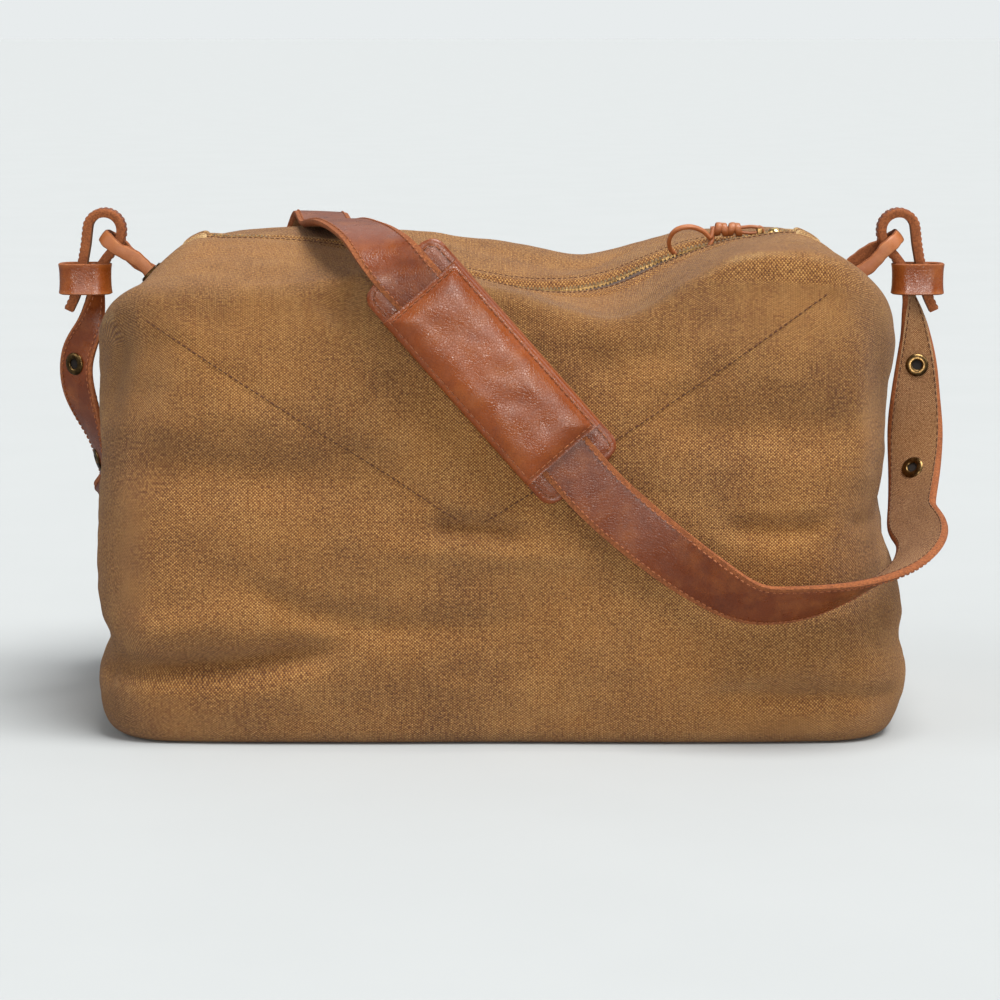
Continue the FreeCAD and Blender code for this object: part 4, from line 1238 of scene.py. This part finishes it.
def make_keeper(side, name, leather, raw):
    low, high = 256.6, 275.4
    cx, hx, hy, corner, wall = 255.5, 16.0, 10.0, 9.0, 2.7
    loop = []
    normals = []
    for sx, sy, start in ((1, 1, 0), (-1, 1, 90), (-1, -1, 180), (1, -1, 270)):
        for k in range(9):
            a = math.radians(start + k / 8 * 90)
            loop.append((cx + sx * (hx - corner) + corner * math.cos(a),
                         sy * (hy - corner) + corner * math.sin(a)))
            normals.append((math.cos(a), math.sin(a)))
    dense = []
    for i, (p, n) in enumerate(zip(loop, normals)):
        q, m = loop[(i + 1) % len(loop)], normals[(i + 1) % len(loop)]
        steps = max(1, int(math.dist(p, q) / 1.6))
        for k in range(steps):
            t = k / steps
            dense.append((p[0] + (q[0] - p[0]) * t, p[1] + (q[1] - p[1]) * t,
                          n[0] + (m[0] - n[0]) * t, n[1] + (m[1] - n[1]) * t))
    rows = 9
    verts = []
    uv_at = []
    kinds = [0] * rows + [1, 1] + [0] * rows + [1, 1]
    for i, (x, y, nx, ny) in enumerate(dense):
        wave = 0.35 * perlin(Vector((i / 9.0, side, 1.0)))
        section = []
        for k in range(rows):
            t = k / (rows - 1)
            waist = 0.8 * math.sin(math.pi * t)
            flare = 0.35 * (2 * t - 1) ** 4
            section.append((flare - waist * 0.35 + wave, low + 0.5 + (high - low - 1.0) * t))
        section += [(-0.7, high + 0.15), (-wall + 0.7, high + 0.1)]
        for k in range(rows):
            t = 1 - k / (rows - 1)
            section.append((-wall + wave * 0.4, low + 0.5 + (high - low - 1.0) * t))
        section += [(-wall + 0.7, low - 0.1), (-0.7, low - 0.15)]
        for out, z in section:
            verts.append((x + nx * out, y + ny * out, z))
            uv_at.append((i * 1.6, z))
    count = len(kinds)
    faces = []
    kind = []
    total = len(dense)
    for i in range(total):
        for j in range(count):
            k = (j + 1) % count
            n = (i + 1) % total
            quad = [i * count + j, n * count + j, n * count + k, i * count + k]
            faces.append(quad)
            kind.append(kinds[j] if kinds[j] == kinds[k] else 1)
    verts = mirror(verts, side)
    band = new_object("keeper_band_" + name, verts, faces, [leather, raw], kind,
                      corner_uv(uv_at, faces), sharp=50)
    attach(band, "keeper_" + name)
    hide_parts("keeper_" + name)


# ------------------------------------------------------------------ zip

ZIP_DROP = 2.6           # the teeth run this far below the lips of canvas beside them
TOOTH_PITCH = 2.4


def zip_height(x):
    return TOP_ZIP(x) - ZIP_DROP + 1.0 * sagging(x) + ZIP_DROP * ease(np.abs(x), 128, 150)


def zip_lean(x, y):
    """How much higher the zip lies at y than at its middle, where it turns to the front."""
    return ZIP_TILT * sagging(x) * y


def zip_frames(x):
    slope = (zip_height(x + 1.0) - zip_height(x - 1.0)) / 2
    length = np.sqrt(1 + slope ** 2)
    return np.array([1 / length, 0, slope / length]), np.array([-slope / length, 0, 1 / length])


TAPE_THICK = 0.7
TAPE_ACROSS = (0.6, 2.0, 3.6, 5.5, 7.5, 9.5)
TOOTH_HALF = 0.62                                   # half a tooth's length along the zip
TOOTH_ACROSS = ((-0.5, 0.75), (1.2, 1.05), (3.3, 1.25))     # out from the middle, half its height


def tape_mesh(side):
    """The tape on one side of the zip: two layers of cloth, shut along both edges."""
    xs = np.linspace(-ZIP_HALF - 1, ZIP_HALF + 1, 190)
    verts = []
    cloth = []
    for x in xs:
        for y in TAPE_ACROSS:
            lift = 0.25 * perlin(Vector((x / 6, y / 4, side)))
            z = zip_height(x) - 0.5 + lift + zip_lean(x, side * y)
            verts.append((x, side * y, z))
            verts.append((x, side * y, z - TAPE_THICK))
            cloth += [(x, side * y)] * 2
    faces = []
    count = len(TAPE_ACROSS)
    row = 2 * count
    for i in range(len(xs) - 1):
        for j in range(count - 1):
            a = i * row + 2 * j
            top = [a, a + row, a + row + 2, a + 2]
            under = [a + 1, a + 3, a + row + 3, a + row + 1]
            faces += [top, under] if side > 0 else [top[::-1], under[::-1]]
        for j, flip in ((0, side > 0), (count - 1, side < 0)):
            a = i * row + 2 * j
            quad = [a, a + 1, a + row + 1, a + row]
            faces.append(quad if flip else quad[::-1])
    return verts, faces, corner_uv(cloth, faces)


def teeth_mesh(side):
    """The teeth on one side of the zip; the back's stand between the front's."""
    end = ZIP_HALF - 5.0
    verts = []
    faces = []
    for i in range(int(2 * end / TOOTH_PITCH)):
        x = -end + (i + (0.0 if side < 0 else 0.5)) * TOOTH_PITCH
        along, up = zip_frames(x)
        centre = np.array([x, 0.0, zip_height(x)])
        base = len(verts)
        for u in (-TOOTH_HALF, TOOTH_HALF):
            for y, h in TOOTH_ACROSS:
                for z in (-h, h):
                    rise = zip_lean(x, side * y)
                    verts.append(centre + along * u + np.array([0, side * y, rise]) + up * z)
        left = [base, base + 1, base + 3, base + 5, base + 4, base + 2]
        right = [q + 6 for q in left]
        faces.append(left if side < 0 else left[::-1])
        faces.append(right[::-1] if side < 0 else right)
        for a in range(6):
            b = (a + 1) % 6
            quad = [left[a], right[a], right[b], left[b]]
            faces.append(quad if side < 0 else quad[::-1])
    return verts, faces


def make_zip(tape, metal):
    for side, name in ((-1, "front"), (1, "back")):
        verts, faces, uv = tape_mesh(side)
        strip = new_object("zip_tape_cloth_" + name, verts, faces, [tape], uv=uv, sharp=40)
        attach(strip, "bag")
        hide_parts("zip_tape_" + name)
        verts, faces = teeth_mesh(side)
        teeth = new_object("zip_teeth_brass_" + name, verts, faces, [metal], sharp=30)
        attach(teeth, "bag")
        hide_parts("zip_teeth_" + name)


TAB_START = 179.5        # how far from the middle each tab begins
TAB_LENGTH = 15.0
TAB_HALF = 12.5


def make_zip_tabs(tree, canvas):
    """Folded canvas tabs, one over each end of the zip."""
    for side, name in ((1, "right"), (-1, "left")):
        verts = []
        uv = []
        columns, rows = 17, 17
        for layer in (0, 1):
            for i in range(columns):
                for j in range(rows):
                    u = i / (columns - 1)
                    v = 2 * j / (rows - 1) - 1
                    x = TAB_START + TAB_LENGTH * u
                    y = TAB_HALF * v
                    hit, _, _, _ = tree.ray_cast(Vector((side * x, y, 340)), Vector((0, 0, -1)), 200)
                    z = hit.z if hit else 290.0
                    edge = min(min(u, 1 - u) * TAB_LENGTH, (1 - abs(v)) * TAB_HALF)
                    lift = 0.2 + 1.7 * (1 - math.exp(-edge / 1.1)) if layer == 0 else -0.6
                    verts.append((side * x, y, z + lift))
                    uv.append((x, y + 40 * side))
        faces = []
        size = columns * rows
        for i in range(columns - 1):
            for j in range(rows - 1):
                a = i * rows + j
                quad = [a, a + rows, a + rows + 1, a + 1]
                for q in (quad, [size + v for v in reversed(quad)]):
                    faces.append(q if side > 0 else q[::-1])
        border = [(i, 0) for i in range(columns)]
        border += [(columns - 1, j) for j in range(1, rows)]
        border += [(i, rows - 1) for i in range(columns - 2, -1, -1)]
        border += [(0, j) for j in range(rows - 2, 0, -1)]
        ids = [i * rows + j for i, j in border]
        for a, b in zip(ids, ids[1:] + ids[:1]):
            q = [a, size + a, size + b, b]
            faces.append(q if side > 0 else q[::-1])
        tab = new_object("zip_tab_" + name, verts, faces, [canvas], uv=corner_uv(uv, faces), sharp=60)
        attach(tab, "bag")
        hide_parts("zip_end_tab_" + name)


SLIDER_LIFT = 1.2        # the cloth stands this much higher here than the flat frame's zip


def rounded_block(size, bevel):
    """Points and faces of a box with chamfered edges, centred on the origin."""
    mesh = bmesh.new()
    bmesh.ops.create_cube(mesh, size=1.0)
    bmesh.ops.scale(mesh, vec=size, verts=mesh.verts)
    bmesh.ops.bevel(mesh, geom=list(mesh.edges), offset=bevel, segments=3, profile=0.6, affect="EDGES")
    mesh.verts.ensure_lookup_table()
    points = [tuple(v.co) for v in mesh.verts]
    faces = [[v.index for v in f.verts] for f in mesh.faces]
    mesh.free()
    return points, faces


def make_slider(brass, bright):
    x, top = SLIDER_X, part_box("slider_dome")[0][2] * 1000 + SLIDER_LIFT
    bar_z = 0.5 * (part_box("pull_thong")[0][2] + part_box("pull_thong")[1][2]) * 1000
    verts = []
    faces = []

    def add(size, at, bevel, taper=0.0):
        points, block = rounded_block(size, bevel)
        base = len(verts)
        for a, b, c in points:
            b = b * (1 + taper * a / size[0])
            verts.append((at[0] + a, at[1] + b, at[2] + c))
        faces.extend([[base + v for v in f] for f in block])

    add((15.0, 11.5, 1.5), (x, 0, top - 0.8), 0.6, 0.35)
    add((15.0, 11.5, 1.3), (x, 0, top - 5.4), 0.5, 0.35)
    add((4.0, 1.1, 4.2), (x + 5.2, 0, top - 3.1), 0.3)
    for side in (-1, 1):
        add((13.0, 1.1, 2.0), (x, side * 5.6, top - 1.9), 0.4, 0.0)
        add((3.2, 1.0, bar_z + 1.3 - top + 0.6), (x - 5.0, side * 3.4, (bar_z + 1.3 + top - 0.6) / 2), 0.35)
    add((1.7, 7.0, 1.7), (x - 5.0, 0, bar_z), 0.6)
    slider = new_object("slider_brass", verts, faces, [brass], sharp=40)
    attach(slider, "zip_slider")
    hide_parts("slider_body")
    profile = [(0.0, 4.7), (1.3, 4.5), (2.5, 3.95), (3.5, 3.05), (4.1, 2.0), (4.3, 1.1), (4.2, 0.8),
               (5.0, 0.6), (5.0, 0.1), (4.6, -0.1)]
    steps = 36
    verts = [(x + 4.3, 0, top + profile[0][1])]
    for r, h in profile[1:]:
        verts.extend((x + 4.3 + r * math.cos(2 * math.pi * k / steps), r * math.sin(2 * math.pi * k / steps),
                      top + h) for k in range(steps))
    faces = [[0, 1 + k, 1 + (k + 1) % steps] for k in range(steps)]
    rows = len(profile) - 1
    for i in range(rows - 1):
        a, b = 1 + i * steps, 1 + (i + 1) * steps
        faces += [[a + k, b + k, b + (k + 1) % steps, a + (k + 1) % steps] for k in range(steps)]
    faces.append([1 + (rows - 1) * steps + k for k in range(steps)][::-1])
    dome = new_object("slider_dome_brass", verts, faces, [bright], sharp=60)
    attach(dome, "zip_slider")
    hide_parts("slider_dome")


def make_pull(thong):
    """Thong through the slider's crossbar, wound in a knot, with a loop that droops into the sag."""
    low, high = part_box("pull_thong")
    bar = np.array([high[0] * 1000 - 3.3, 0.0, 0.5 * (low[2] + high[2]) * 1000])
    strands = []
    for k, lift in ((0, 1.5), (1, -1.2)):
        path = [bar + (1.6, 0, 1.2 * (1 - 2 * k)), bar + (-4, 0, lift + 0.6 * (1 - 2 * k)),
                bar + (-12, 0, lift), bar + (-30, 0, lift * 0.8)]
        strands.append(tube("strand_%d" % k, smooth_line(path, 1.0), 1.1, thong,
                            flat=1.9, up=(0, 1, 0), sides=10, rough=0.12, seed=k))
    eye = [bar + (2.0 * math.cos(a), 0, 2.0 * math.sin(a)) for a in np.linspace(-2.1, 2.1, 15)]
    strands.append(tube("strand_eye", smooth_line(eye, 0.6), 1.0, thong,
                        flat=2.0, up=(0, 1, 0), sides=10, rough=0.1, seed=9))
    piece = join(strands[0], *strands[1:])
    piece.name = "pull_thong_leather"
    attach(piece, "zip_pull")
    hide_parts("pull_thong")
    turns = []
    knot = bar + (-19.5, 0, 0.4)
    for k in range(4):
        at = knot + (-6.0 + 4.1 * k, 0, 0.15 * (-1) ** k)
        tilt = 0.25 * (-1) ** k
        ring = [at + (tilt * 3.0 * math.sin(a), 3.3 * math.cos(a), 3.3 * math.sin(a))
                for a in np.linspace(0, 2 * math.pi * 1.04, 30)]
        turns.append(tube("turn_%d" % k, ring, 1.0, thong, flat=2.1, up=(1, 0, 0), sides=10,
                          rough=0.15, seed=20 + k))
    piece = join(turns[0], *turns[1:])
    piece.name = "pull_knot_leather"
    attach(piece, "zip_pull")
    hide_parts("pull_knot")
    centre = bar + (-43.0, -4.5, -7.0)
    loop = []
    for a in np.linspace(0.36, 2 * math.pi - 0.30, 40):
        u, v = 12.6 * math.cos(a), 10.6 * math.sin(a) * (1 - 0.12 * math.cos(a))
        loop.append(centre + (u, -v * 0.42 + 1.5 * math.sin(2 * a), v * 0.9))
    loop = [bar + (-28, -0.6, 1.6)] + loop + [bar + (-28, 0.6, -1.4)]
    piece = tube("pull_loop_leather", smooth_line(loop, 1.0), 1.35, thong, flat=1.35,
                 up=(0.0, 0.9, 0.42), sides=12, rough=0.14, seed=31)
    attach(piece, "zip_pull")
    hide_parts("pull_loop")


# ------------------------------------------------------------------ seams on the canvas

def seam_line(tree, points, step=1.5, way=None):
    """Points on the cloth under a line drawn near it, with the outward way at each."""
    line = []
    outs = []
    for (x0, y0, z0), (x1, y1, z1) in zip(points, points[1:]):
        steps = max(1, int(math.dist((x0, y0, z0), (x1, y1, z1)) / step))
        for k in range(steps):
            t = k / steps
            p = Vector((x0 + (x1 - x0) * t, y0 + (y1 - y0) * t, z0 + (z1 - z0) * t))
            if way is None:
                hit, normal, _, _ = tree.find_nearest(p)
            else:
                hit, normal, _, _ = tree.ray_cast(p - way * 70.0, way)
            line.append(np.array(hit) + np.array(normal) * 0.18)
            outs.append(np.array(normal))
    return line, outs


def make_seams(tree, thread):
    rows = []
    for path in V_SEAMS:
        rows.append(seam_line(tree, [(x, -122, z) for x, z in path], way=Vector((0, 1, 0))))
        rows.append(seam_line(tree, [(-x, 122, z) for x, z in path], way=Vector((0, -1, 0))))
    piece = stitches("canvas_v_stitches", rows, thread, 3.6, 2.5, 0.8)
    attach(piece, "bag")
    beside = []
    for y in (-11.5, 11.5):
        beside.append(seam_line(tree, [(x, y, float(TOP_ZIP(x)) + 1.5) for x in np.linspace(-181, 181, 60)]))
    piece = stitches("zip_seam_stitches", beside, thread, 3.3, 2.3, 0.55)
    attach(piece, "bag")


# ------------------------------------------------------------------ stage, light and camera

def make_stage():
    mesh = bpy.data.meshes.new("studio_floor")
    reach = 60.0
    mesh.from_pydata([(-reach, -reach, 0), (reach, -reach, 0), (reach, reach, 0), (-reach, reach, 0)],
                     [], [(0, 1, 2, 3)])
    mesh.materials.append(floor_material())
    floor = bpy.data.objects.new("studio_floor", mesh)
    bpy.context.scene.collection.objects.link(floor)
    floor.visible_glossy = False


def add_sun(name, azimuth, elevation, strength, angle, colour=(1, 1, 1)):
    """A soft distant light from a compass direction: azimuth 0 stands in front, 90 at the right."""
    data = bpy.data.lights.new(name, "SUN")
    data.energy = strength
    data.angle = math.radians(angle)
    data.color = colour
    lamp = bpy.data.objects.new(name, data)
    a, e = math.radians(azimuth), math.radians(elevation)
    source = Vector((math.sin(a) * math.cos(e), -math.cos(a) * math.cos(e), math.sin(e)))
    lamp.rotation_euler = source.to_track_quat("Z", "Y").to_euler()
    bpy.context.scene.collection.objects.link(lamp)


def make_light():
    world = bpy.data.worlds.new("studio")
    bpy.context.scene.world = world
    world.use_nodes = True
    tree = world.node_tree
    back = tree.nodes["Background"]
    back.inputs["Color"].default_value = (0.93, 0.96, 1.0, 1.0)
    back.inputs["Strength"].default_value = 0.22
    seen = tree.nodes.new("ShaderNodeBackground")
    seen.inputs["Color"].default_value = srgb(232, 236, 237)
    seen.inputs["Strength"].default_value = 1.0
    path = tree.nodes.new("ShaderNodeLightPath")
    mix = tree.nodes.new("ShaderNodeMixShader")
    tree.links.new(path.outputs["Is Camera Ray"], mix.inputs[0])
    tree.links.new(back.outputs[0], mix.inputs[1])
    tree.links.new(seen.outputs[0], mix.inputs[2])
    tree.links.new(mix.outputs[0], tree.nodes["World Output"].inputs[0])
    add_sun("key", 50, 68, 3.9, 34, (1.0, 0.985, 0.965))
    add_sun("front", 4, 7, 1.1, 17, (1.0, 0.965, 0.92))
    add_sun("left", -68, 34, 0.8, 40, (1.0, 0.99, 0.98))
    add_sun("right", 80, 30, 0.8, 40, (1.0, 0.99, 0.98))
    add_sun("back", 170, 50, 0.5, 60)


def make_camera():
    distance, elevation = 1.900, math.radians(8.0)
    data = bpy.data.cameras.new("camera")
    data.lens = 110.4
    data.sensor_width = 36.0
    data.clip_end = 200.0
    camera = bpy.data.objects.new("camera", data)
    bpy.context.scene.collection.objects.link(camera)
    camera.location = (0.0, -distance * math.cos(elevation), 0.160 + distance * math.sin(elevation))
    aim = Vector((-0.0009, 0.0, 0.1282))
    camera.rotation_euler = (camera.location - aim).to_track_quat("Z", "Y").to_euler()
    bpy.context.scene.camera = camera


def repaint(material, *nodes):
    for node in nodes:
        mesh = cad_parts[node].data
        mesh.materials.clear()
        mesh.materials.append(material)


def main():
    scene = bpy.context.scene
    scene.view_settings.view_transform = "Standard"
    canvas = canvas_material("washed_canvas", srgb(196, 141, 66), srgb(148, 100, 44),
                             srgb(230, 182, 108), srgb(246, 214, 156))
    lining_cloth = plain_cloth_material("lining_cloth", srgb(120, 96, 70), srgb(94, 72, 50), 0.0012)
    backing = canvas_material("strap_canvas", srgb(206, 156, 94), srgb(160, 112, 62),
                              srgb(230, 186, 132), srgb(236, 200, 152), pitch=0.0007)
    leather = leather_material("strap_leather", srgb(124, 58, 18), srgb(78, 29, 7),
                               srgb(170, 100, 46), 0.30, 0.15)
    pad_leather = leather_material("pad_leather", srgb(148, 72, 22), srgb(92, 34, 8),
                                   srgb(180, 108, 50), 0.24, 0.22, patchy=0.6)
    keeper_leather = leather_material("keeper_leather", srgb(150, 74, 24), srgb(84, 32, 8),
                                      srgb(184, 112, 56), 0.22, 0.3)
    suede = leather_material("suede_back", srgb(158, 108, 66), srgb(124, 80, 44),
                             srgb(184, 138, 92), 0.8, 0.0)
    thong = leather_material("thong_leather", srgb(180, 108, 58), srgb(122, 62, 26),
                             srgb(216, 152, 98), 0.42, 0.05, 1.4)
    raw = raw_edge_material("raw_edge", srgb(168, 98, 50), srgb(110, 56, 24))
    dark_thread = thread_material("brown_thread", srgb(172, 102, 58), srgb(104, 50, 22))
    orange_thread = thread_material("rust_thread", srgb(178, 108, 62), srgb(112, 54, 24))
    canvas_thread = thread_material("canvas_thread", srgb(104, 58, 26), srgb(70, 36, 14))
    brass = metal_material("aged_brass", srgb(128, 102, 64), srgb(58, 42, 24), 0.28)
    bright = metal_material("polished_brass", srgb(236, 206, 142), srgb(196, 158, 98), 0.16)
    teeth = metal_material("zip_brass", srgb(178, 146, 96), srgb(104, 78, 46), 0.36)
    # Painted shade: near-black colour for the discs inside the eyelets.
    painted_hole_shade = raw_edge_material("eyelet_shadow", srgb(34, 24, 18), srgb(18, 12, 9))
    tape = plain_cloth_material("zip_tape_cloth", srgb(86, 54, 28), srgb(58, 36, 18), 0.0009)
    board = plain_cloth_material("base_board_cloth", srgb(70, 60, 50), srgb(52, 44, 36), 0.002)

    tree = make_bag(canvas, lining_cloth)
    make_zip(tape, teeth)
    make_zip_tabs(tree, canvas)
    make_seams(tree, canvas_thread)
    make_strap(tree, leather, raw, backing, orange_thread, canvas_thread, brass, painted_hole_shade)
    make_pad(pad_leather, raw, suede, dark_thread)
    for side, name in ((1, "right"), (-1, "left")):
        make_tongue(side, name, leather, raw, suede, dark_thread)
        make_ring(side, name, tree, thong, raw, brass)
        make_keeper(side, name, keeper_leather, raw)
    make_slider(brass, bright)
    make_pull(thong)
    repaint(brass, "zip_stops")
    repaint(thong, "ring_knots_left", "ring_knots_right")
    repaint(board, "base_board")

    make_stage()
    make_light()
    make_camera()


main()
